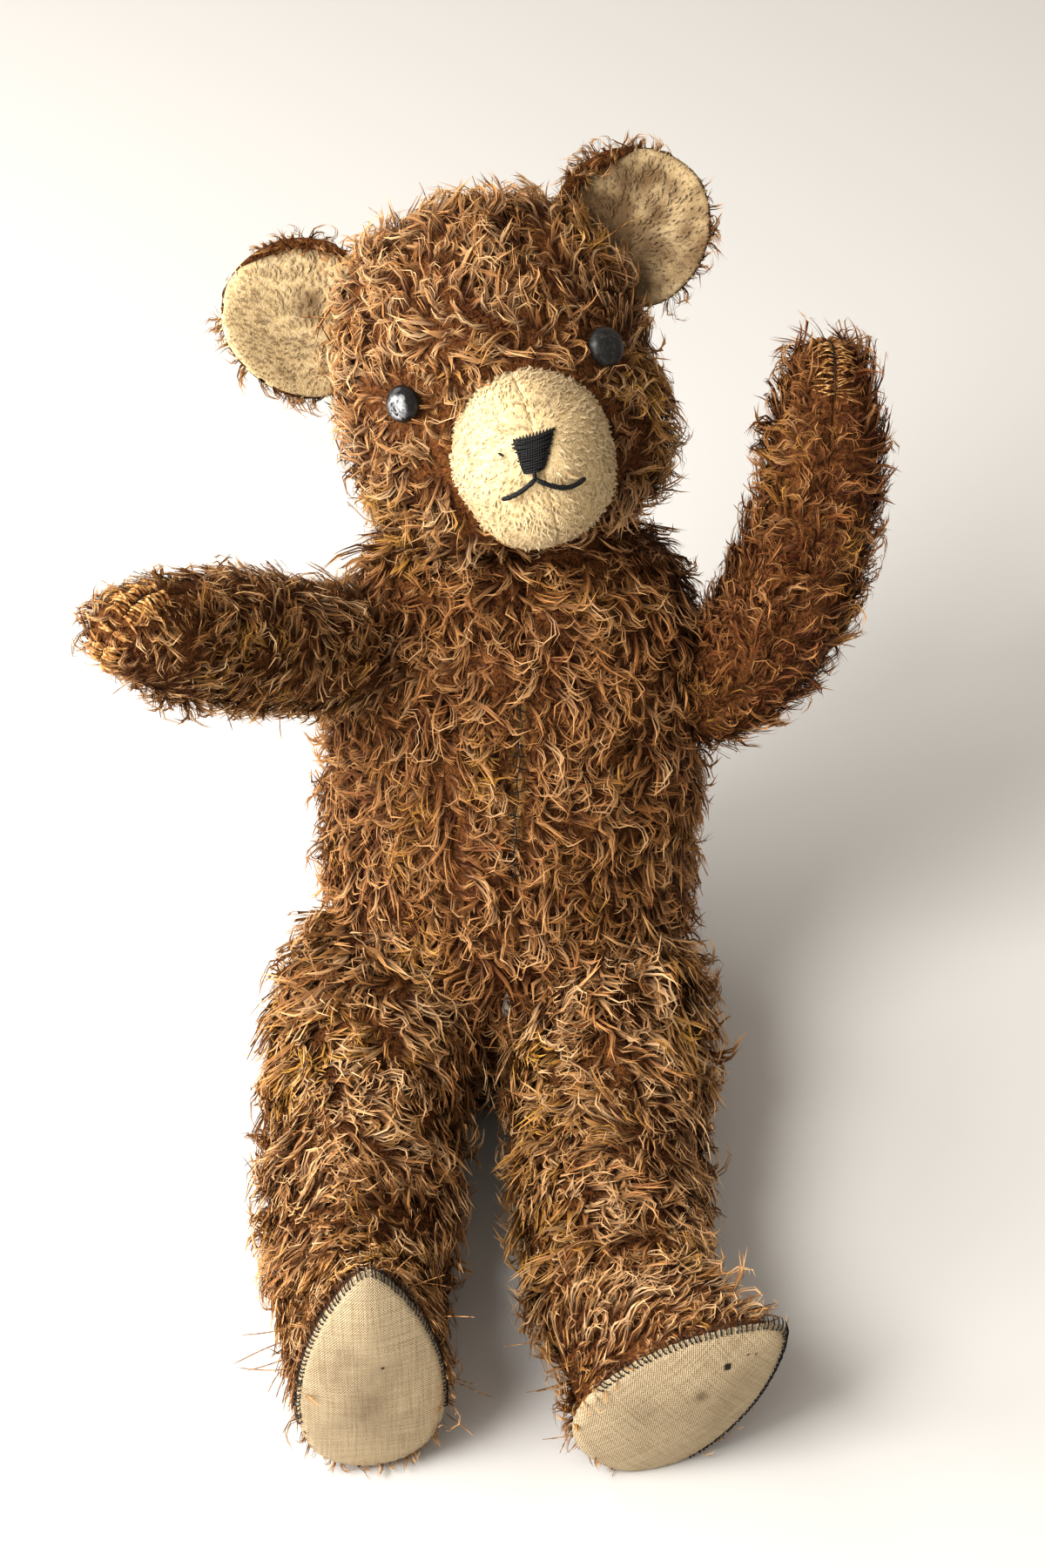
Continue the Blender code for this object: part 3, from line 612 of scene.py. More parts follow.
add_locks(SHAGGY, "matted_lock", 90, BENDS, **LOCK, most_steps=2, roll=0.5)
PLUSH = {"Spacing": 0.0022, "Size": 1.0, "Swirl": 2.4, "Spread": 0.55}
PLUSH |= {"Ruffle": 0.0020, "Lowest": 0.0004, "Faded": 0.0}


def torso_skin(u, a):
    along = -TORSO_SUNK + SKIN
    reach = TORSO_LENGTH + TORSO_SUNK - 2 * SKIN
    centre = along + reach * (1 - np.cos(np.pi * u)) / 2
    round_off = np.maximum(np.sin(np.pi * u), 0) ** TORSO_FULLNESS
    half_width = (between(TORSO_HALF_WIDTHS, u) - SKIN) * round_off
    half_depth = (between(TORSO_HALF_DEPTHS, u) - SKIN) * round_off
    return (
        TORSO_AXIS * centre[..., None]
        + TORSO_SIDE * (half_width * np.cos(a))[..., None]
        + TORSO_FRONT * (half_depth * np.sin(a))[..., None]
    )


def floored(points, low):
    return np.concatenate([points[..., :2], np.maximum(points[..., 2:], low)], -1)


def in_torso(points, grow=0.0):
    """Which points lie inside the torso, grown by grow."""
    flat = points - TORSO_AXIS * -TORSO_SUNK
    share = np.clip(flat @ TORSO_AXIS / (TORSO_LENGTH + TORSO_SUNK), 0.0005, 0.9995)
    u = np.arccos(1 - 2 * share) / np.pi
    round_off = np.sin(np.pi * u) ** TORSO_FULLNESS
    wide = flat @ TORSO_SIDE / (between(TORSO_HALF_WIDTHS, u) * round_off + grow)
    deep = flat @ TORSO_FRONT / (between(TORSO_HALF_DEPTHS, u) * round_off + grow)
    ends = np.abs(flat @ TORSO_AXIS - (TORSO_LENGTH + TORSO_SUNK) / 2)
    return (wide**2 + deep**2 < 1) & (ends < (TORSO_LENGTH + TORSO_SUNK) / 2 + grow)


def under_others(points):
    """Where the limbs and the head cover the torso, round a centre line each."""
    covered = np.zeros(points.shape[:-1], dtype=bool)
    for start, end, radius in (  # the legs, the arms and the neck
        ((-0.040, 0.026, 0.038), (-0.044, -0.022, 0.032), 0.015),
        ((0.039, 0.026, 0.038), (0.036, -0.022, 0.033), 0.015),
        ((0.062, 0.040, 0.118), (0.078, 0.040, 0.130), 0.013),
        ((-0.034, 0.048, 0.138), (-0.066, 0.026, 0.158), 0.013),
        (TORSO_AXIS * 0.215, TORSO_AXIS * 0.250, 0.040),
    ):
        start, line = np.array(start), np.array(end) - np.array(start)
        share = np.clip((points - start) @ line / (line @ line), 0, 1)
        covered |= np.linalg.norm(points - start - share[..., None] * line, axis=-1) < radius
    return covered


def torso_cloth(name, start, end, seams):
    """A torso cloth between two angles in quarter turns from its left side to its front."""
    wide = int(34 * (end - start)) + 1
    a = np.linspace(start, end, wide) * math.pi / 2
    u, a = np.meshgrid(np.linspace(0, 1, 64), a, indexing="ij")
    rows = torso_skin(u, a)
    out = facing(rows, TORSO_AXIS * TORSO_LENGTH / 2)
    sunk = sum(drawn_in((a - s * math.pi / 2) * BELLY_ROUND, depth=0.0022, width=0.0045) for s in seams)
    swell = lumps(rows, size=0.03, height=0.0012, seed=2) - sunk
    rows = floored(rows + out * swell[..., None], CLOTH_RESTS)
    belly = np.abs(a - math.pi / 2) * BELLY_ROUND
    worn = np.exp(-((belly / 0.0017) ** 2)) * smooth((u - 0.49) / 0.06) * smooth((0.70 - u) / 0.06)
    pile = (1 - 0.9 * worn) * (u < 0.94) * (rows[..., 2] > PILE_RESTS) * ~under_others(rows)
    parted = np.exp(-((belly / 0.0055) ** 2)) * smooth((u - 0.47) / 0.06) * smooth((0.72 - u) / 0.06)
    aside = TORSO_SIDE * np.sign(math.pi / 2 - a)[..., None]
    comb = unit(aside * parted[..., None] - TORSO_AXIS * (1 - 0.6 * parted)[..., None])
    kept = {"comb": comb, "pile": pile, "worn": worn, "calm": 0.7 * parted, "shorn": 0.2 * parted}
    bm = open_cloth(rows, out, kept)
    return sew_pile(cloth(name, bm, BACKING_WITH_ROOT_SHADE), SHAGGY, BROWN_PILE, Seed=len(name), **PLUSH)


def sewn_on(piece):
    """Fixes a finished piece to the bear, which is all one body."""
    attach(piece, "root")


def fit(piece, node):
    """Puts a finished piece on the bear in place of its plain solid."""
    sewn_on(piece)
    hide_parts(node)


for name, start, end, seams in (
    ("torso_front_left", 0, 1, (0, 1)),
    ("torso_front_right", 1, 2, (1, 2)),
    ("torso_back", 2, 4, (2, 4)),
):
    fit(torso_cloth(name + "_plush", start, end, seams), name)


BELLY_THREAD = 0.00045
BELLY_THREAD_LIES = 0.0022  # how far in front of the cloth's plain form
THREAD_POINTS = 60


def belly_thread():
    """The running thread that shows where the belly seam is worn bare, and its small cross stitches."""
    rng = np.random.default_rng(5)
    u = np.linspace(0.47, 0.72, THREAD_POINTS)
    line = torso_skin(u, np.full(THREAD_POINTS, math.pi / 2)) + TORSO_FRONT * BELLY_THREAD_LIES
    line += TORSO_SIDE * (0.0004 * np.sin(u * 160))[:, None]
    paths = [line]
    for k in range(2, THREAD_POINTS - 2, 3):
        reach = rng.uniform(0.0012, 0.0030) * np.linspace(-1, 1, 5)
        slant = reach * rng.uniform(-0.4, 0.4)
        arch = np.array((-0.0006, 0.0002, 0.0004, 0.0002, -0.0006))
        path = TORSO_SIDE * reach[:, None] + TORSO_AXIS * slant[:, None] + TORSO_FRONT * arch[:, None]
        paths.append(line[k] + path)
    return paths


belly_seam = threads("belly_seam_thread", belly_thread(), BELLY_THREAD, BLACK_THREAD, sides=5)
sewn_on(belly_seam)


def packed_fibre():
    """Grey-white cotton waste, packed hard."""
    dye = Finish("packed_fibre")
    wad = dye.times(dye.grain(90.0, 4.0, 1.5), 0.5)
    value = dye.times(dye.grain(900.0, 3.0, 2.0), 0.5, wad)
    tone = dye.tones(value, (0.3, (0.38, 0.34, 0.27)), (0.7, (0.68, 0.64, 0.55)))
    return dye.done(tone, 0.95, 0.5, (value, 0.7, 0.002))


PACKED_FIBRE = packed_fibre()
for part in ("torso", "head", "arm_left", "arm_right", "leg_left", "leg_right"):
    for slot in frame["nodes"][part + "_stuffing"].material_slots:
        slot.material = PACKED_FIBRE

# ---- Arms ---------------------------------------------------------------------------------------
# Each arm is an outer and an inner cloth of the same plush, sewn along both edges, stuffed, and
# closed by hand at the tip of the paw. It is then sewn to the shoulder.
ARM_HALF_WIDTHS = (0.0235, 0.0240, 0.0235, 0.0225, 0.0215)
LIMB_ROUND = 0.027  # how much cloth one radian round a limb takes
PILE_BURIED = -0.0075  # from this deep in the torso on, a limb has no pile
CLOTH_BURIED = -0.010  # and from this deep on, it has no cloth
ARM_FULLNESS = 0.4
EGG_TAPERS, EGG_POINTS = 0.30, 0.16  # how a foot narrows from its heel to its toes


class Limb:
    """A stuffed tube round a bent centre line, as its two cloths lie."""

    def __init__(self, points, outward, widths, depths, toe=0, turn=0.0):
        self.points = np.array(points)
        self.outward = np.array(outward, dtype=float)
        self.widths, self.depths = widths, depths
        self.toe, self.turn = toe, turn
        self.length = np.linalg.norm(np.diff(self.points, axis=0), axis=1).sum()

    def axes(self, u):
        """Place, direction along, outward side, and the direction square to both, for each u."""
        a, b, c = self.points
        u = u[..., None]
        place = a * (1 - u) ** 2 + b * (2 * u * (1 - u)) + c * u**2
        along = unit((b - a) * (1 - u) + (c - b) * u)
        side = unit(self.outward - along * (along @ self.outward)[..., None])
        angle = self.turn * smooth(u)
        side = side * np.cos(angle) + np.cross(along, side) * np.sin(angle)
        front = np.cross(side, along)
        foot = smooth((u - 0.68) / 0.32)
        return place + front * (self.toe * 0.010 * foot), along, side, front

    def skin(self, u, round_off, a, inset):
        drawn = SKIN / self.length
        u = drawn + (1 - drawn * (1 if self.toe else 2)) * u
        place, _, side, front = self.axes(u)
        half_width = (between(self.widths, u) - inset) * round_off
        half_depth = (between(self.depths, u) - inset) * round_off
        tip = self.toe * np.sin(a)
        across = half_width * np.cos(a) * (1 - (EGG_TAPERS * tip + EGG_POINTS * tip**3) * smooth(u))
        return place + side * across[..., None] + front * (half_depth * np.sin(a))[..., None]


def limb_cloth(name, limb, outer_side, u, round_off, inset, pile, **changes):
    """One of a limb's two cloths. Their seams run along its front and its back."""
    start = -1 if outer_side else 1
    a = np.linspace(start, start + 2, 44) * math.pi / 2
    u, a = np.meshgrid(u, a, indexing="ij")
    rows = limb.skin(u, round_off[:, None], a, inset[:, None])
    out = facing(rows, limb.axes(u)[0])
    seam = np.minimum(np.abs(a - a[0, 0]), np.abs(a - a[0, -1])) * LIMB_ROUND
    sunk = drawn_in(seam, depth=0.0015, width=0.0035) * round_off[:, None]
    rows = rows + out * (lumps(rows, size=0.025, height=0.0010, seed=5) - sunk)[..., None]
    rows = floored(rows, CLOTH_RESTS)
    comb, calm, shorn = pile(limb, out, u, a)
    full = 1.0 * ~in_torso(rows, PILE_BURIED) * (rows[..., 2] > PILE_RESTS)
    worn = (1 - np.clip(full, 0, 1)) * smooth((u - 0.8) / 0.1)
    kept = {"comb": comb, "pile": full, "worn": worn, "calm": calm, "shorn": shorn}
    bm = open_cloth(rows, out, kept)
    remove_faces(bm, lambda middles: in_torso(middles, CLOTH_BURIED))
    made = cloth(name, bm, BACKING_WITH_ROOT_SHADE)
    seed = len(name) + int(outer_side)
    return sew_pile(made, SHAGGY, BROWN_PILE, Seed=seed, **(PLUSH | changes))


ARMS = {
    "left": Limb(
        ((0.062, 0.040, 0.118), (0.111, 0.040, 0.150), (0.108, 0.085, 0.240)),
        (1, -0.1, -0.35),
        ARM_HALF_WIDTHS,
        ARM_HALF_WIDTHS,
    ),
    "right": Limb(
        ((-0.034, 0.048, 0.138), (-0.082, 0.010, 0.171), (-0.115, -0.050, 0.221)),
        (-0.7, 0.6, 0.2),
        ARM_HALF_WIDTHS,
        ARM_HALF_WIDTHS,
    ),
}
bow = np.linspace(0, np.pi, 60)
ARM_SHARES = (1 - np.cos(bow)) / 2
ARM_ROUND = np.maximum(np.sin(bow), 0) ** ARM_FULLNESS


def arm_pile(limb, out, u, a):
    """The pile parts on both sides of the closing seam, which runs over the tip of the paw."""
    _, along, side, _ = limb.axes(u)
    at_tip = smooth((u - 0.80) / 0.08)
    far = np.minimum(np.abs(a - math.pi / 2), np.abs(a - 3 * math.pi / 2))
    far = np.minimum(far, np.abs(a + math.pi / 2))
    parted = at_tip * np.exp(-((far / 0.75) ** 2))
    aside = side * np.sign(np.cos(a))[..., None]
    comb = unit(along * (1 - parted)[..., None] + aside * parted[..., None])
    trimmed = -0.06 if limb is ARMS["left"] else 0.22  # the raised paw has kept more of its pile
    shorn = at_tip * (trimmed + 0.40 * np.exp(-((far / 0.55) ** 2)))
    return comb, 0.9 * parted, shorn


def dress(kind, limbs, shares, round_off, inset, pile, size, faded):
    """Sews both cloths of both limbs of a kind."""
    for which, limb in limbs.items():
        for part, outer_side in (("outer", True), ("inner", False)):
            node = f"{kind}_{which}_{part}"
            changes = {"Size": size, "Faded": faded[which]}
            made = limb_cloth(
                node + "_plush", limb, outer_side, shares, round_off, inset, pile, **changes
            )
            fit(made, node)


ARM_INSET = np.full(len(bow), SKIN)
# Painted light: the left arm is painted darker as painted shade from the head, the right arm paler on its
# lit side.
ARM_PAINTED_LIGHT = {"left": -1.2, "right": 1.5}
dress("arm", ARMS, ARM_SHARES, ARM_ROUND, ARM_INSET, arm_pile, 0.86, ARM_PAINTED_LIGHT)


def golden_fibre():
    """The mohair that is caught in the closing stitches: golden, with red-brown between the plies."""
    dye = Finish("golden_fibre")
    tone = dye.tones(
        dye.grain(700.0, 3.0),
        (0.35, (0.12, 0.036, 0.008)),
        (0.5, (0.36, 0.180, 0.058)),
        (0.68, (0.66, 0.450, 0.210)),
    )
    return dye.done(tone, 0.75, 0.15)


CLOSING_THREAD = 0.0004
SEAM_POINTS = 200
SEAM_SHOWS = 300  # of the points up one side of the paw and down the other


def closing_seam(limb, seed, start, spacing):
    """The seam that shuts the paw, from its front over the tip to its back, and the loops over it."""
    rng = np.random.default_rng(seed)
    front = np.linspace(start, 1, SEAM_POINTS)
    shares = np.concatenate([front, front[::-1]])
    angles = np.repeat((math.pi / 2, -math.pi / 2), SEAM_POINTS)
    rounds = np.maximum(np.sin(np.arccos(1 - 2 * shares)), 0) ** ARM_FULLNESS
    seam = limb.skin(shares, rounds, angles, SKIN)
    run = np.concatenate([[0], np.cumsum(np.linalg.norm(np.diff(seam, axis=0), axis=1))])
    middle = limb.axes(np.array(0.9))[0]
    slit = []
    for k in range(0, SEAM_SHOWS, 4):
        slit.append(seam[k] + unit(seam[k] - middle) * 0.0022 + rng.normal(size=3) * 0.00025)
    loops = []
    for at in np.arange(0.001, run[-1] * 0.75, spacing):
        k = int(np.searchsorted(run, at))
        out = unit(seam[k] - middle)
        along = unit(seam[min(k + 3, 2 * SEAM_POINTS - 1)] - seam[max(k - 3, 0)])
        aside = unit(np.cross(along, out))
        for way in (-1, 1):
            reach = way * np.linspace(0.0003, rng.uniform(0.0035, 0.0080), 6)
            arch = rng.uniform(0.0016, 0.0030) * np.sin(np.linspace(0.7, math.pi, 6))
            slant = reach * rng.uniform(-0.35, 0.55)
            loop = seam[k] + aside * reach[:, None] + along * slant[:, None] + out * arch[:, None]
            loops.append(loop)
    return np.array(slit), loops


GOLDEN_FIBRE = golden_fibre()
for which, seed, start, spacing, bare, thickness in (
    ("left", 21, 0.92, 0.0007, slice(2, 60), 0.00045),
    ("right", 22, 0.93, 0.0008, slice(30, 44), 0.0009),
):
    slit, loops = closing_seam(ARMS[which], seed, start, spacing)
    name = f"arm_{which}_closing_"
    thread = threads(name + "thread", [slit[bare]], CLOSING_THREAD, BLACK_THREAD, sides=5)
    sewn_on(thread)
    sewn_on(threads(name + "loops", loops, thickness, GOLDEN_FIBRE, sides=5))

# ---- Legs ---------------------------------------------------------------------------------------
# Each leg is an outer and an inner cloth. The foot is turned up at its end and left open there for
# the sole. The left foot lies turned outwards.
LEG_HALF_WIDTHS = (0.031, 0.0330, 0.0325, 0.0300, 0.0260, 0.0225)
LEG_HALF_DEPTHS = (0.031, 0.0325, 0.0310, 0.0290, 0.0300, 0.0405)
LEG_ROOT = 0.16
LEGS = {
    "right": Limb(
        ((-0.040, 0.026, 0.038), (-0.050, -0.110, 0.022), (-0.038, -0.183, 0.0310)),
        (-1, 0, 0),
        LEG_HALF_WIDTHS,
        LEG_HALF_DEPTHS,
        toe=1,
    ),
    "left": Limb(
        ((0.039, 0.026, 0.038), (0.032, -0.112, 0.024), (0.050, -0.184, 0.0245)),
        (1, 0, 0),
        (*LEG_HALF_WIDTHS[:-2], 0.0270, 0.0252),
        (*LEG_HALF_DEPTHS[:-1], 0.0378),
        toe=-1,
        turn=math.radians(-53),
    ),
}
root_bow = np.linspace(0, np.pi / 2, 12)[:-1]
LEG_SHARES = np.concatenate([LEG_ROOT * (1 - np.cos(root_bow)), np.linspace(LEG_ROOT, 1, 60)])
LEG_ROUND = np.concatenate([np.sin(root_bow) ** 0.7, np.ones(60)])
RIM = 0.0016  # how deep the cloth's edge lies where the sole is sewn to it
LEG_INSET = SKIN + (RIM - SKIN) * smooth((LEG_SHARES - 0.93) / 0.07)


def leg_pile(limb, out, u, a):
    """Next to the sole the pile is short and lies back over the leg. The left foot is combed round."""
    _, along, _, _ = limb.axes(u)
    at_rim = smooth((u - 0.945) / 0.03)
    round_foot = smooth((u - 0.72) / 0.1) * (limb.toe < 0)
    comb = along + (np.cross(out, along) - along) * round_foot[..., None]
    tip = limb.toe * np.sin(a)  # 1 at the tip of the toes, where the seam was picked clear
    back = np.clip(1.2 * tip - 0.1, -0.6, 1)
    comb = unit(comb * (1 - at_rim)[..., None] - along * (at_rim * back)[..., None] + 1e-6)
    at_root = smooth((0.35 - u) / 0.20)  # the pile is thickest in the crotch
    at_foot = smooth((u - 0.66) / 0.16)
    calm = np.maximum(np.maximum(0.85 * at_rim, 0.65 * round_foot), 0.45 * at_foot)
    return comb, calm, 0.30 * at_rim + 0.24 * at_foot - 0.30 * at_root


# The legs' pile is painted paler, partly for dust and partly as painted light where they face the lamps.
LEG_DUST_AND_LIGHT = {"left": 1.5, "right": 1.5}
dress("leg", LEGS, LEG_SHARES, LEG_ROUND, LEG_INSET, leg_pile, 1.1, LEG_DUST_AND_LIGHT)

# ---- Soles --------------------------------------------------------------------------------------
# Each sole is an egg of plain-woven cream cotton, sewn to the leg's rim with a black whip stitch,
# and domed by the stuffing. Each is grubby in the middle, and has a small hole or two.
SOLE_DOME = 0.0055
SOLE_STANDS = 0.0018
COTTON_THICK = 0.0006
COTTON_RESTS = 0.0003  # how high the cotton and the threads stay above the table
THREAD_RESTS = 0.0006
SOLE_INSET = 0.0006  # how much smaller it is than the end of the leg
SOLE_HEM = 0.0016
YARN_PITCH = 0.00085
STITCH_SPACING = 0.00165
STITCH_THREAD = 0.00048
HEEL = -0.45  # below this share of the sole's half height its stitches are hidden


def cotton():
    """Plain weave, with slubs, grime and a few pinholes painted dark as painted shade. It follows the
    cloth's own map.
    """
    dye = Finish("cream_cotton")
    lie = dye("ShaderNodeUVMap", uv_map="cloth").outputs[0]
    wander = dye.times(dye.grain(260.0, 2.0), 0.9)
    parts = dye("ShaderNodeSeparateXYZ", {0: lie}).outputs
    warp = dye.maths("SINE", dye.times(parts[0], math.tau / YARN_PITCH, wander))
    weft = dye.maths("SINE", dye.times(parts[1], math.tau / YARN_PITCH, wander))
    weave = dye.times(dye.times(warp, weft), 0.5, 0.5)
    for stretch in ((1400.0, 60.0, 1.0), (60.0, 1400.0, 1.0)):
        yarn = dye.noise(dye("ShaderNodeMapping", {"Vector": lie, "Scale": stretch}), 1.0, 1.0)
        weave = dye.times(dye.less(yarn, 0.5), 0.9, weave)
    grain = dye.grain(1500.0, 2.0)
    height = dye.times(grain, 0.4, weave)
    patch = dye.times(dye.grain(90.0, 5.0), 1.6, -0.35, clamp=True)
    grime = dye.times(dye.carried("dirt"), patch)
    tone = dye.tones(height, (0.15, (0.25, 0.172, 0.090)), (0.80, (0.53, 0.430, 0.290)))
    tone = dye.mix(grime, tone, (0.19, 0.135, 0.085, 1))
    # Painted shade: the pinholes are painted near-black.
    hole_shade = dye.times(grain, 0.5, dye.less(dye.carried("hole"), 0.5))
    hole_shade = dye.times(dye.less(hole_shade, 0.35), 6.0, clamp=True)
    tone = dye.mix(hole_shade, tone, (0.035, 0.022, 0.015, 1))
    return dye.done(tone, 0.9, 0.2, (height, 0.8, 0.0004))


COTTON = cotton()


def sole_at(limb, share, a, rise, inset):
    """Points of the sole at a share of the way from its middle to its rim."""
    place, along, side, front = limb.axes(np.array(1.0))
    half_width = limb.widths[-1] - inset
    half_depth = limb.depths[-1] - inset
    tip = limb.toe * np.sin(a)
    across = half_width * share * np.cos(a) * (1 - EGG_TAPERS * tip - EGG_POINTS * tip**3)
    deep = half_depth * share * np.sin(a)
    dome = rise + SOLE_DOME * (1 - share**2)
    points = place + along * dome[..., None] + side * across[..., None] + front * deep[..., None]
    return points, np.stack([across, deep], -1)


def spot(flat, x, y, size):
    """How much of a round spot lies at each place on the flat sole."""
    return np.exp(-(((flat[..., 0] - x) ** 2 + (flat[..., 1] - y) ** 2) / size**2))


def sole(name, limb, dirt_spots, holes):
    """The domed cotton, with its edge turned under against the leg's rim."""
    edge = 0.9 + 0.1 * np.sin(np.linspace(0.1, math.pi / 2, 8))
    share = np.concatenate([np.linspace(0, 0.9, 36), edge])
    share, a = np.meshgrid(share, np.linspace(0, math.tau, 121), indexing="ij")
    turned = SOLE_HEM * np.clip((share - 0.9) / 0.1, 0, 1) ** 2.2
    rows, flat = sole_at(limb, share, a, SOLE_STANDS - turned, SOLE_INSET)
    out = np.broadcast_to(limb.axes(np.array(1.0))[1], rows.shape)
    pulls = 0.00025 * np.cos(a * 60) * np.clip((share - 0.82) / 0.18, 0, 1) ** 2
    sag = lumps(rows, size=0.018, height=0.0009, seed=9) * (1 - share**4)
    rows = floored(rows + out * (pulls + sag)[..., None], COTTON_RESTS)
    dirt, hole = np.zeros(share.shape), np.zeros(share.shape)
    for x, y, size, strength in dirt_spots:
        dirt += strength * spot(flat, x, y, size)
    for place_and_size in holes:
        hole = np.maximum(hole, spot(flat, *place_and_size))
    kept = {"pile": share, "dirt": dirt, "hole": hole, "flat_x": flat[..., 0], "flat_y": flat[..., 1]}
    made = cloth(name, open_cloth(rows, out, kept), COTTON, thick=COTTON_THICK)
    mesh = made.data
    uv = mesh.uv_layers.new(name="cloth")
    corner = np.empty(len(mesh.loops), dtype=int)
    mesh.loops.foreach_get("vertex_index", corner)
    lie = []
    for key in ("flat_x", "flat_y"):
        values = np.empty(len(mesh.vertices), dtype="f4")
        mesh.attributes[key].data.foreach_get("value", values)
        lie.append(values[corner])
    uv.data.foreach_set("uv", np.stack(lie, -1).ravel())
    return made


def whip_stitches(limb, seed, spacing):
    """Black stitches over the edge of the sole, each from the plush to the cotton."""
    rng = np.random.default_rng(seed)
    fine = np.linspace(0, math.tau, 721)
    rim, _ = sole_at(limb, np.ones(721), fine, rise=0.0, inset=0.0008)
    run = np.concatenate([[0], np.cumsum(np.linalg.norm(np.diff(rim, axis=0), axis=1))])
    paths = []
    for at in np.arange(0, run[-1], spacing):
        a = np.interp(at + rng.uniform(-0.0003, 0.0003), run, fine)
        if limb.toe * math.sin(a) < HEEL:
            continue
        share = np.array((1.035, 1.025, 1.008, 0.985, 0.968, 0.960)) + rng.uniform(-0.006, 0.006)
        rise = np.array((-0.0010, 0.0006, 0.0015, 0.0018, 0.0017, 0.0008))
        turn = a + np.linspace(-0.5, 0.5, 6) * rng.uniform(0.015, 0.045)
        path, _ = sole_at(limb, share, turn, rise, SOLE_INSET)
        paths.append(floored(path, THREAD_RESTS))
    return paths


for which, dirt_spots, holes, seed in (
    (
        "right",
        ((0.002, -0.004, 0.016, 0.9), (-0.006, -0.022, 0.008, 0.6), (0.010, 0.012, 0.007, 0.5)),
        ((-0.003, 0.006, 0.0009),),
        71,
    ),
    (
        "left",
        ((0.0, 0.0, 0.014, 0.4), (-0.003, -0.0055, 0.0022, 1.8), (-0.010, 0.010, 0.006, 0.4)),
        ((-0.0055, -0.0180, 0.0022), (-0.003, -0.0245, 0.0010), (-0.001, -0.0262, 0.0009)),
        72,
    ),
):
    made = sole(f"foot_pad_{which}_cotton", LEGS[which], dirt_spots, holes)
    fit(made, f"foot_pad_{which}")
    stitches = whip_stitches(LEGS[which], seed, STITCH_SPACING)
    made = threads(f"foot_pad_{which}_stitches", stitches, STITCH_THREAD, BLACK_THREAD, sides=5)
    sewn_on(made)

# ---- Head ---------------------------------------------------------------------------------------
# Two side cloths and a strip between them that runs from the muzzle over the crown to the nape,
# stuffed hard. The head is sewn to the neck, tipped towards the bear's right shoulder.
HEAD_HALF_WIDTHS = (0.058, 0.0575, 0.0535, 0.052, 0.047)
HEAD_HALF_DEPTHS = (0.044, 0.049, 0.051, 0.049, 0.042)
HEAD_HALF_HEIGHT = 0.058
HEAD_FULLNESS = 0.46
MUZZLE_CENTRE = np.array((0.0020, -0.040, -0.0310))
MUZZLE_RADII = np.array((0.0270, 0.034, 0.0302))
STRIP_HALF_WIDTH = 0.018
STRIP_END = 0.022
MUZZLE_COVERS = -0.0035  # the head has no cloth from this deep in the muzzle on
NECK_BURIED = -0.007
EYE_BARE = 0.0058  # no pile grows this near to the middle of an eye
EYE_PLACES = {"left": (0.0330, -0.003), "right": (-0.0330, -0.003)}
HEAD_FRAME = (
    Matrix.Translation(Vector(TORSO_AXIS * 0.238) + Vector((-0.012, 0, 0)))
    @ Matrix.Rotation(-TORSO_LEAN, 4, "X")
    @ Matrix.Rotation(math.radians(-14.5), 4, "Y")
    @ Matrix.Rotation(math.radians(7), 4, "Z")
    @ Matrix.Rotation(math.radians(-17), 4, "X")
)
HEAD_TURN = np.array(HEAD_FRAME.to_3x3())
HEAD_PLACE = np.array(HEAD_FRAME.translation)


def out_of_head(points):
    """From the head's own frame to the bear's."""
    return points @ HEAD_TURN.T + HEAD_PLACE


def into_head(points):
    return (points - HEAD_PLACE) @ HEAD_TURN


def face_point(x, z):
    """Where the front of the head is at x and z in the head's frame, and which way it faces."""
    u = np.arccos(-z / HEAD_HALF_HEIGHT) / math.pi
    round_off = math.sin(math.pi * u) ** HEAD_FULLNESS
    width = between(HEAD_HALF_WIDTHS, u) * round_off
    depth = between(HEAD_HALF_DEPTHS, u) * round_off
    y = -depth * math.sqrt(1 - (x / width) ** 2)
    out = unit(np.array((x / width**2, y / depth**2, z / HEAD_HALF_HEIGHT**2)))
    return np.array((x, y, z)), out


def in_muzzle(points, grow=0.0):
    return (((points - MUZZLE_CENTRE) / (MUZZLE_RADII + grow)) ** 2).sum(axis=-1) < 1


def split(bm, place, way):
    whole = bm.verts[:] + bm.edges[:] + bm.faces[:]
    bmesh.ops.bisect_plane(bm, geom=whole, dist=1e-6, plane_co=place, plane_no=way)


def onto_bear(bm):
    """Moves a cloth from the head's own frame to the bear's, with the ways that it carries."""
    for v in bm.verts:
        v.co = Vector(out_of_head(np.array(v.co)))
    for key in ("comb", "out"):
        layer = bm.verts.layers.float_vector[key]
        for v in bm.verts:
            v[layer] = Vector(HEAD_TURN @ np.array(v[layer]))


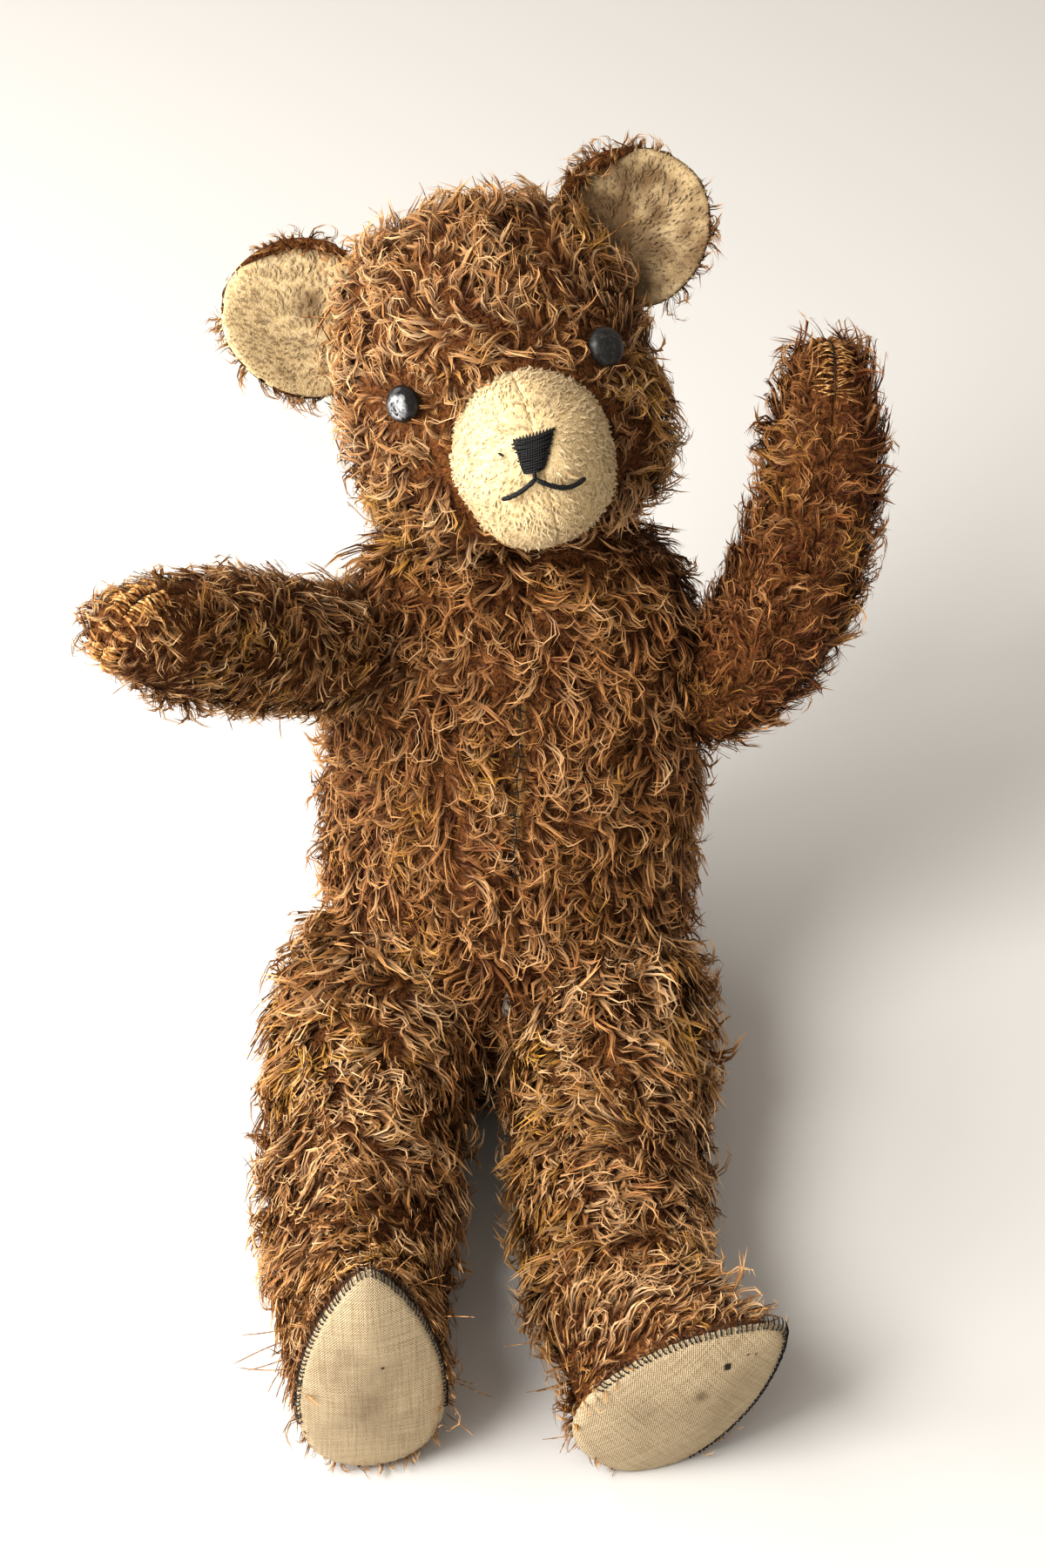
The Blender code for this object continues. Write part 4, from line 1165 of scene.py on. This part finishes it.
def head_cloths():
    """The whole head's plush as one sheet in the head's frame, ready to be cut into its cloths."""
    u, a = np.meshgrid(np.linspace(0, 1, 84), np.linspace(0, math.tau, 141), indexing="ij")
    round_off = np.maximum(np.sin(np.pi * u), 0) ** HEAD_FULLNESS
    width = (between(HEAD_HALF_WIDTHS, u) - SKIN) * round_off
    depth = (between(HEAD_HALF_DEPTHS, u) - SKIN) * round_off
    height = -(HEAD_HALF_HEIGHT - SKIN) * np.cos(math.pi * u)
    rows = np.stack([width * np.cos(a), -depth * np.sin(a), height], -1)
    out = facing(rows, np.zeros(3))
    x, y, z = rows[..., 0], rows[..., 1], rows[..., 2]
    on_strip = (z > MUZZLE_CENTRE[2]) | (y > STRIP_END)
    seam = np.where(on_strip, np.abs(np.abs(x) - STRIP_HALF_WIDTH), np.abs(x))
    swell = lumps(rows, size=0.03, height=0.0014, seed=7) - drawn_in(seam, depth=0.0012, width=0.003)
    rows = rows + out * swell[..., None]
    away = unit(rows - MUZZLE_CENTRE)
    back = smooth((y + 0.01) / 0.03)[..., None]
    comb = away * (1 - back) + np.array((0, 0, -1.0)) * back
    pile = 1.0 - in_muzzle(rows, 0.0002)
    calm = np.zeros(pile.shape)
    for ex, ez in EYE_PLACES.values():
        eye, _ = face_point(ex, ez)
        far = np.linalg.norm(rows - eye, axis=-1)
        pile = pile * smooth((far - EYE_BARE) / 0.0016)
        near = np.exp(-((far / 0.013) ** 4))[..., None]
        comb = comb * (1 - near) + unit(rows - eye) * near
        calm = calm + 0.8 * near[..., 0]
    crown = smooth((z / HEAD_HALF_HEIGHT - 0.55) / 0.35)
    shorn = 0.5 * calm - 0.25 * crown
    return open_cloth(rows, out, {"comb": unit(comb), "pile": pile, "calm": calm, "shorn": shorn})


def cut_head(name, wanted):
    """Cuts one cloth out of the head's plush."""
    bm = head_cloths()
    for x in (-STRIP_HALF_WIDTH, 0, STRIP_HALF_WIDTH):
        split(bm, (x, 0, 0), (1, 0, 0))
    split(bm, (0, STRIP_END, 0), (0, 1, 0))
    split(bm, (0, 0, MUZZLE_CENTRE[2]), (0, 0, 1))

    def unwanted(middles):
        x, y, z = middles.T
        on_strip = (np.abs(x) < STRIP_HALF_WIDTH) & ((z > MUZZLE_CENTRE[2]) | (y > STRIP_END))
        kept = on_strip if wanted == "strip" else ~on_strip & (x * wanted > 0)
        under_muzzle = in_muzzle(middles, MUZZLE_COVERS)
        return ~kept | under_muzzle | in_torso(out_of_head(middles), NECK_BURIED)

    remove_faces(bm, unwanted)
    onto_bear(bm)
    made = cloth(name, bm, BACKING_WITH_ROOT_SHADE)
    return sew_pile(made, SHAGGY, BROWN_PILE, Seed=len(name), **HEAD_PLUSH)


# The head's pile is painted paler, partly for dust and partly as painted light where it faces the lamps.
HEAD_PLUSH = PLUSH | {"Size": 0.92, "Spread": 0.8, "Swirl": 3.0, "Faded": 1.35}
for part, wanted in (("gusset", "strip"), ("side_left", 1), ("side_right", -1)):
    fit(cut_head(f"head_{part}_plush", wanted), f"head_{part}")

# ---- Muzzle -------------------------------------------------------------------------------------
# Two halves of clipped cream plush with a seam down the middle. The short pile lies away from the
# nose, and is thicker at the rim, where it meets the brown.
CLIPPED = 0.0013
CREAM_THICK = 0.0008


def cream_backing():
    dye = Finish("cream_backing")
    fine = dye.grain(1300.0, 3.0)
    tone = dye.tones(fine, (0.3, (0.50, 0.36, 0.17)), (0.7, (0.74, 0.61, 0.40)))
    # The dirt also holds painted shade on the left ear's lining.
    tone = dye.mix(dye.carried("dirt"), tone, (0.13, 0.075, 0.036, 1))
    return dye.done(tone, 0.95, 0.1, (fine, 0.8, 0.0005))


def cream_pile():
    dye = Finish("cream_pile")
    value = dye.times(dye.carried("tuft"), 0.2, dye.times(dye.carried("fibre"), 0.35, 0.0))
    value = dye.times(dye.grain(70.0, 3.0), 0.45, value)
    # Painted light and shade: the pile is a little darker at its roots and paler at its tips.
    value = dye.times(dye.carried("along"), 0.15, value)
    cream = dye.tones(
        value,
        (0.2, (0.45, 0.305, 0.140)),
        (0.45, (0.55, 0.420, 0.240)),
        (0.8, (0.64, 0.535, 0.365)),
    )
    # The dirt also holds painted shade on the left ear's lining.
    tone = dye.mix(dye.carried("dirt"), cream, (0.17, 0.098, 0.045, 1))
    return dye.done(tone, 0.75, 0.2, more={"Sheen Weight": 0.1})


CREAM_BACKING = cream_backing()
CREAM_PILE = cream_pile()
SHORT = bpy.data.collections.new("short_locks")
BENDS = ((0.2, 0.45), (-0.3, 0.40), (0.5, 0.50), (-0.6, 0.35))
LOCK = {"length": 0.0030, "fibres": 6, "width": 0.00026, "spread": 0.0007}
add_locks(SHORT, "short_lock", 80, BENDS, **LOCK, most_steps=2, roll=0.25)
CLIPPED_PILE = PLUSH | {"Spacing": 0.0011, "Swirl": 0.6, "Spread": 0.35, "Ruffle": 0.0002}


def muzzle_skin(b, a, inset):
    """Points of the egg of the muzzle, from its tip at b = 0, in the head's frame."""
    radii = MUZZLE_RADII - inset
    x, y, z = np.sin(b) * np.cos(a), -np.cos(b), np.sin(b) * np.sin(a)
    return MUZZLE_CENTRE + radii * np.stack([x, y, z], -1)


def muzzle_cloth(name, sign):
    b, a = np.meshgrid(np.linspace(0, 2.0, 56), np.linspace(0, math.tau, 121), indexing="ij")
    rows = muzzle_skin(b, a, CLIPPED)
    out = facing(rows, MUZZLE_CENTRE)
    seam = np.abs(rows[..., 0] - MUZZLE_CENTRE[0])
    swell = lumps(rows, size=0.02, height=0.0009, seed=3) - drawn_in(seam, depth=0.0004, width=0.0010)
    rows = rows + out * swell[..., None]
    tip = MUZZLE_CENTRE + np.array((0, -MUZZLE_RADII[1], 0.004))
    comb = unit(rows - tip)
    buried = ((rows[..., 0] / HEAD_HALF_WIDTHS[1]) ** 2 + (rows[..., 1] / 0.0475) ** 2) < 0.86
    x, z = rows[..., 0] - MUZZLE_CENTRE[0], rows[..., 2] - MUZZLE_CENTRE[2]
    under_nose = (np.abs(x + 0.001) < 0.0055) & (z > NOSE_FOOT) & (z < NOSE_TOP)
    under_nose &= rows[..., 1] < MUZZLE_CENTRE[1]
    pile = (1.0 - buried) * (1.0 - under_nose)
    dirt = 0.25 * np.clip(lumps(rows, size=0.008, height=1.0, seed=4), 0, 1)
    bm = open_cloth(rows, out, {"comb": comb, "pile": pile, "dirt": dirt})
    split(bm, tuple(MUZZLE_CENTRE), (1, 0, 0))
    remove_faces(bm, lambda middles: (middles[:, 0] - MUZZLE_CENTRE[0]) * sign < 0)
    onto_bear(bm)
    made = cloth(name, bm, CREAM_BACKING, thick=CREAM_THICK)
    return sew_pile(made, SHORT, CREAM_PILE, Seed=31 + sign, **CLIPPED_PILE)


NOSE_TOP = 0.0060
NOSE_FOOT = -0.0066
for which, sign in (("left", 1), ("right", -1)):
    fit(muzzle_cloth(f"muzzle_{which}_plush", sign), f"muzzle_{which}")

# ---- Nose and mouth -----------------------------------------------------------------------------
# Thick black cotton. The nose is satin stitch: rows laid across a padding of upright threads. The
# mouth is stem stitch, and one short stitch joins it to the nose.
NOSE_HALF_WIDTH_TOP = 0.0078
NOSE_HALF_WIDTH_FOOT = 0.0036
NOSE_LEANS = -0.0034
NOSE_THREAD = 0.00090
MOUTH_THREAD = 0.00145


def on_muzzle(x, z, lift):
    """The place on the muzzle that is met by aiming x and z off its tip, in the bear's frame."""
    aim = unit(np.stack([x, x * 0 - MUZZLE_RADII[1], z], -1))
    reach = 1 / np.sqrt(((aim / (MUZZLE_RADII + lift[..., None])) ** 2).sum(axis=-1))
    return out_of_head(MUZZLE_CENTRE + aim * reach[..., None])


def nose_row(share):
    """The half width and the height of the nose at a share of the way down."""
    half = NOSE_HALF_WIDTH_TOP + (NOSE_HALF_WIDTH_FOOT - NOSE_HALF_WIDTH_TOP) * share**0.8
    return half, NOSE_TOP + (NOSE_FOOT - NOSE_TOP) * share


def nose_threads():
    rng = np.random.default_rng(9)
    paths = []
    for across in np.linspace(-0.9, 0.9, 13):
        share = np.linspace(0.02, 0.98, 6)
        half, z = nose_row(share)
        paths.append(on_muzzle(across * half + NOSE_LEANS * share, z, np.full(6, -0.0004)))
    rows = 15
    for k in range(rows):
        share = (k + 0.5) / rows
        half, height = nose_row(share)
        ends = half * np.array((-1, 1)) + rng.uniform(-0.0009, 0.0007, 2)
        x = np.linspace(*ends, 8)
        sag = 0.0018 * (1 - share) ** 2 * (1 - (x / half) ** 2)
        slant = rng.uniform(-0.05, 0.05) * x
        z = height - sag + slant
        lift = 0.0003 + rng.uniform(-0.0001, 0.0004) - 0.0012 * np.abs(np.linspace(-1, 1, 8)) ** 6
        paths.append(on_muzzle(x + NOSE_LEANS * share, z, lift))
    return paths


def stem_stitches(x, z, seed):
    """Overlapping stitches along a line on the muzzle, each laid a little across it."""
    rng = np.random.default_rng(seed)
    run = np.concatenate([[0], np.cumsum(np.hypot(np.diff(x), np.diff(z)))])
    paths = []
    for start in np.arange(0, run[-1] - 0.0015, 0.0011):
        at = np.linspace(start, min(start + 0.0034, run[-1] + 0.0003), 6)
        cross = np.linspace(0.0003, -0.0003, 6) + rng.uniform(-0.00015, 0.00015)
        lift = 0.0007 * np.sin(np.linspace(0, math.pi, 6)) - 0.0001
        paths.append(on_muzzle(np.interp(at, run, x), np.interp(at, run, z) + cross, lift))
    return paths


stray = np.linspace(-1, 1, 4)
nose = nose_threads()
nose.append(on_muzzle(-0.0125 + 0.0010 * stray, 0.0020 - 0.0008 * stray, np.full(4, 0.0003)))
LINE = NOSE_FOOT - 0.0024  # where the mouth meets the short stitch under the nose
bend = np.linspace(0, 1, 30)
MOUTHS = {
    "left": (
        NOSE_LEANS + 0.0175 * bend,
        LINE - 0.0068 * np.sin(np.pi / 2 * np.minimum(1.35 * bend, 1)) + 0.0012 * bend**4,
    ),
    "right": (
        NOSE_LEANS - 0.0150 * bend,
        LINE - 0.0052 * np.sin(np.pi / 2 * bend) ** 1.1,
    ),
}
left_mouth = stem_stitches(*MOUTHS["left"], 11)
right_mouth = stem_stitches(*MOUTHS["right"], 12)
z = np.linspace(NOSE_FOOT + 0.0006, LINE - 0.0004, 5)
left_mouth.append(on_muzzle(np.full(5, NOSE_LEANS), z, np.full(5, 0.0002)))
for piece, node, paths, thickness in (
    ("nose_satin_stitches", "nose_stitching", nose, NOSE_THREAD),
    ("mouth_stem_stitches_left", "mouth_stitch_left", left_mouth, MOUTH_THREAD),
    ("mouth_stem_stitches_right", "mouth_stitch_right", right_mouth, MOUTH_THREAD),
):
    fit(threads(piece, paths, thickness, BLACK_THREAD), node)

# ---- Ears ---------------------------------------------------------------------------------------
# Each ear is a half-round of brown plush and one of cream plush, sewn round the edge and turned.
# It is cupped forwards and sewn into the head. Handling has made the cream dirty in the hollow,
# and the left lining is also painted darker all over as painted shade.
EAR_HALF_WIDTH = 0.0275
EAR_HEIGHT = 0.0485
EAR_SWELLS = 0.0026
EAR_CUP = 0.010
EAR_TRIMMED = 0.0016
EAR_CLOTH = 0.0006
FOLDS = {1: 0.19, -1: 0.13}  # how far the brown cloth folds over the lining, as a share of the ear


def ear_frame(sign):
    return (
        HEAD_FRAME
        @ Matrix.Translation(Vector((sign * 0.0455, 0.004, 0.0215)))
        @ Matrix.Rotation(-sign * math.radians(14), 4, "Z")
        @ Matrix.Rotation(sign * math.radians(42), 4, "Y")
    )


def ear_cloth(name, sign, thick, grime, material, locks, pile_material, sizes):
    """A cupped half-round. A negative thickness makes the front of the ear."""
    shares = np.linspace(0, 1, 34)
    if thick > 0:
        shares = np.concatenate([shares, 1 + np.linspace(0.1, 1, 8)])
    share, a = np.meshgrid(shares, np.linspace(0, math.tau, 97), indexing="ij")
    rolled = np.clip(share - 1, 0, 1)
    fold = turned_over(a, sign)
    share = np.minimum(share, 1)
    reach = share + fold * (0.030 * np.sin(rolled * math.pi) - FOLDS[sign] * rolled**2)
    across = reach * np.cos(a)
    up = 0.42 + reach * np.sin(a) * 0.58
    cup = EAR_CUP * (across**2 + 0.6 * (up - 0.45) ** 2)
    full = thick * np.sqrt(np.clip(1 - share**5, 0, 1)) - 0.0042 * fold * smooth(rolled * 1.6)
    shrink = 1 - EAR_TRIMMED / EAR_HALF_WIDTH
    rows = np.stack([across * EAR_HALF_WIDTH * shrink, full - cup, up * EAR_HEIGHT * shrink], -1)
    out = facing(rows, np.array((0, -thick * 30, 0.02)))
    if np.sum(out[..., 1]) * thick < 0:
        out = -out
    rows = rows + out * lumps(rows, size=0.016, height=0.0008, seed=5 + sign)[..., None]
    comb = unit(np.stack([across, across * 0, (up - 0.2)], -1) + 1e-6)
    turn = np.array(ear_frame(sign).to_3x3())
    world = rows @ turn.T + np.array(ear_frame(sign).translation)
    inside = into_head(world) / (0.050, 0.047, 0.0555)
    in_head = (inside[..., 0] ** 2 + inside[..., 1] ** 2) ** 2 + inside[..., 2] ** 4 < 0.80
    # For the left lining, these dirt values also hold painted shade.
    dirt = grime(across, up, rows)
    pile = 1.0 - in_head
    if thick > 0:
        pile = pile * np.maximum(share < 0.80, rim_tufts(a, sign))
        over = (rolled * fold)[..., None]
        round_rim = np.stack([-np.sin(a), a * 0, np.cos(a)], -1)
        comb = unit(comb * (1 - 1.3 * over) + round_rim * over * 1.2)
    extras = {"comb": comb @ turn.T, "pile": pile, "dirt": dirt, "shorn": 0.30 * (share > 0.8)}
    made = cloth(name, open_cloth(world, out @ turn.T, extras), material, thick=EAR_CLOTH)
    return sew_pile(made, locks, pile_material, Seed=50 + sign, **sizes)


def no_grime(across, up, rows):
    return across * 0


def left_grime_and_shade(across, up, rows):
    # Painted shade: the 0.62 darkens the whole left lining, which lies in shade; the spots and specks are
    # dirt.
    spots = np.exp(-(((across + 0.35) / 0.45) ** 2) - ((up - 0.30) / 0.24) ** 2)
    return np.clip(0.62 + 0.6 * spots + 0.35 * lumps(rows, size=0.006, height=1.4, seed=1), 0, 0.92)


def right_grime(across, up, rows):
    spots = np.exp(-(((across - 0.30) / 0.28) ** 2) - ((up - 0.42) / 0.16) ** 2)
    specks = np.clip(lumps(rows, size=0.006, height=1.4, seed=2), 0, 1)
    return np.clip(0.65 * spots + 0.30 * specks, 0, 0.9)


def rim_tufts(a, sign):
    """The parts of the ear's edge where the brown pile is still long: elsewhere it has worn off."""
    way = np.degrees(a)
    if sign < 0:
        return (way < 62) | (np.abs(way - 205) < 32) | (np.abs(way - 128) < 4)
    return (np.abs(way - 135) < 40) | (np.abs(way - 20) < 9) | (way > 352) | (np.abs(way - 330) < 8)


def turned_over(a, sign):
    """The part of the ear's edge where the long pile hangs over to the front."""
    way = np.degrees(a)
    middle, reach = (35, 40) if sign < 0 else (156, 38)
    return np.exp(-(((way - middle) / reach) ** 4))


# The ear backs are painted a little paler, partly for dust and partly as painted light.
EAR_PLUSH = PLUSH | {"Spacing": 0.0015, "Size": 0.80, "Faded": 0.6}
EAR_BROWN = (BACKING_WITH_ROOT_SHADE, SHAGGY, BROWN_PILE, EAR_PLUSH)
EAR_CREAM = (CREAM_BACKING, SHORT, CREAM_PILE, CLIPPED_PILE)
for which, sign, grime in (("left", 1, left_grime_and_shade), ("right", -1, right_grime)):
    name = f"ear_{which}_"
    back = ear_cloth(name + "back_plush", sign, EAR_SWELLS, no_grime, *EAR_BROWN)
    fit(back, name + "back")
    lining = ear_cloth(name + "lining_plush", sign, -EAR_SWELLS, grime, *EAR_CREAM)
    fit(lining, name + "lining")

# ---- Eyes ---------------------------------------------------------------------------------------
# Domed black eyes on shanks through the cloth. The left one is scratched and dull, and the right
# one has a pale side, partly a scuff and partly a painted reflection of the lamps.
EYE_RADIUS = 0.0067
EYE_BACK_RADIUS = 0.0063
EYE_BACK, EYE_EDGE = 0.0006, 0.0018  # how high its back and its edge stand off the face
EYE_DOME = 0.0042
SHANK_RADIUS = 0.0016
SHANK_LENGTH = 0.013


def eye_glass(name, rough, haze, scuff_and_reflection_share):
    dye = Finish(name)
    scratch = dye.grain(500.0, 6.0, 1.5)
    lines = dye.times(dye.times(scratch, 4.0, -1.9, clamp=True), haze)
    tone = dye.tones(lines, (0.0, (0.008, 0.008, 0.009)), (1.0, (0.048, 0.043, 0.037)))
    patchy = dye.times(scratch, 3.2, -1.15, clamp=True)
    # The pale patch is partly a scuff and partly a painted reflection.
    scuff = dye.times(dye.times(dye.carried("scuff"), patchy), scuff_and_reflection_share)
    tone = dye.mix(scuff, tone, (0.50, 0.51, 0.53, 1))
    gloss = dye.times(dye.grain(160.0, 4.0), haze * 0.5, rough)
    coat = {"Coat Weight": 0.1, "Coat Roughness": 0.12}
    return dye.done(tone, gloss, 0.35, (scratch, 0.12 + 0.3 * haze, 0.0001), coat)


def eye(name, place, material, size, sunk):
    point, out = face_point(*place)
    turn = Vector(out).to_track_quat("Z", "X").to_matrix().to_4x4()
    seat = HEAD_FRAME @ Matrix.Translation(Vector(point)) @ turn
    bow = np.linspace(0, math.pi / 2, 14)
    radius = [0, SHANK_RADIUS, SHANK_RADIUS, EYE_BACK_RADIUS]
    radius = size * np.concatenate([radius, EYE_RADIUS * np.cos(bow)])
    height = [-SHANK_LENGTH, -SHANK_LENGTH, EYE_BACK, EYE_BACK]
    height = np.concatenate([height, EYE_EDGE + EYE_DOME * np.sin(bow)]) - sunk
    a = np.linspace(0, math.tau, 49)
    rows = np.stack(
        [radius[:, None] * np.cos(a), radius[:, None] * np.sin(a), height[:, None] + a * 0], -1
    )
    out_rows = rows * np.array((1, 1, 0.2)) + np.array((0, 0, 1e-4)) * (height[:, None, None] + 0.001)
    flat = np.array(seat.to_3x3()) @ rows.reshape(-1, 3).T
    # Where the pale patch lies: partly scuff, partly painted reflection.
    across, up = flat[0] + 0.0019, flat[2] - 0.0006
    scuff = smooth((0.0046 - np.hypot(across * 1.3, up)) / 0.0022)
    bm = open_cloth(rows, out_rows, {"scuff": scuff.reshape(radius.size, -1)})
    bmesh.ops.recalc_face_normals(bm, faces=bm.faces)
    bmesh.ops.transform(bm, matrix=seat, verts=bm.verts)
    return piece_of(name, bm, material)


for which, material, size, sunk in (
    ("left", eye_glass("cloudy_glass", 0.25, 0.9, 0.0), 0.97, 0.0006),
    ("right", eye_glass("scuffed_glass", 0.10, 0.25, 1.0), 0.91, 0.0014),
):
    fit(eye(f"eye_{which}_glass", EYE_PLACES[which], material, size, sunk), f"eye_{which}")

# ---- Loose fibres -------------------------------------------------------------------------------
# Single long fibres and wisps of mohair that have worked out of the pile on the crown, the arms and
# the feet. They are thin round threads, and they hold on by their roots.
FIBRE_THICK = 0.00040
CROWN_FIBRES = 26


def loose_fibres(seed, roots, ways, lengths):
    rng = np.random.default_rng(seed)
    share = np.linspace(0, 1, 8)[:, None]
    paths = []
    for root, way in zip(roots, unit(np.array(ways))):
        bend = np.cross(way, unit(rng.normal(size=3))) * rng.uniform(0.1, 0.45)
        reach = rng.uniform(*lengths)
        curl = bend[[1, 2, 0]] * 0.3 * np.sin(4 * share)
        path = root + reach * (way * share + bend * share**2 + curl)
        paths.append(floored(path, THREAD_RESTS))
    return paths


rng = np.random.default_rng(17)
spans = ((-1, 1), (-0.8, 0.5), (0.5, 1))
crown = unit(np.stack([rng.uniform(*span, CROWN_FIBRES) for span in spans], -1))
leans = crown + rng.normal(size=(CROWN_FIBRES, 3)) * 0.25
roots = out_of_head(crown * (0.052, 0.046, 0.052))
wisps = loose_fibres(1, roots, leans @ HEAD_TURN.T, (0.012, 0.022))
for limbs, part, count, flatter, forwards, seed, lengths in (
    (LEGS, (0.80, 0.97), 20, (1, 1, 0.6), 0.3, 2, (0.012, 0.021)),
    (ARMS, (0.35, 0.93), 14, (1, 1, 1), 0.6, 3, (0.009, 0.014)),
):
    for limb in limbs.values():
        u, a = rng.uniform(*part, count), rng.uniform(0, math.tau, count)
        roots = limb.skin(u, np.ones(count), a, SKIN)
        middle, along, _, _ = limb.axes(u)
        ways = unit(roots - middle) * flatter + along * forwards
        wisps += loose_fibres(seed, roots, ways, lengths)
sewn_on(threads("loose_fibres", wisps, FIBRE_THICK, GOLDEN_FIBRE, sides=3))
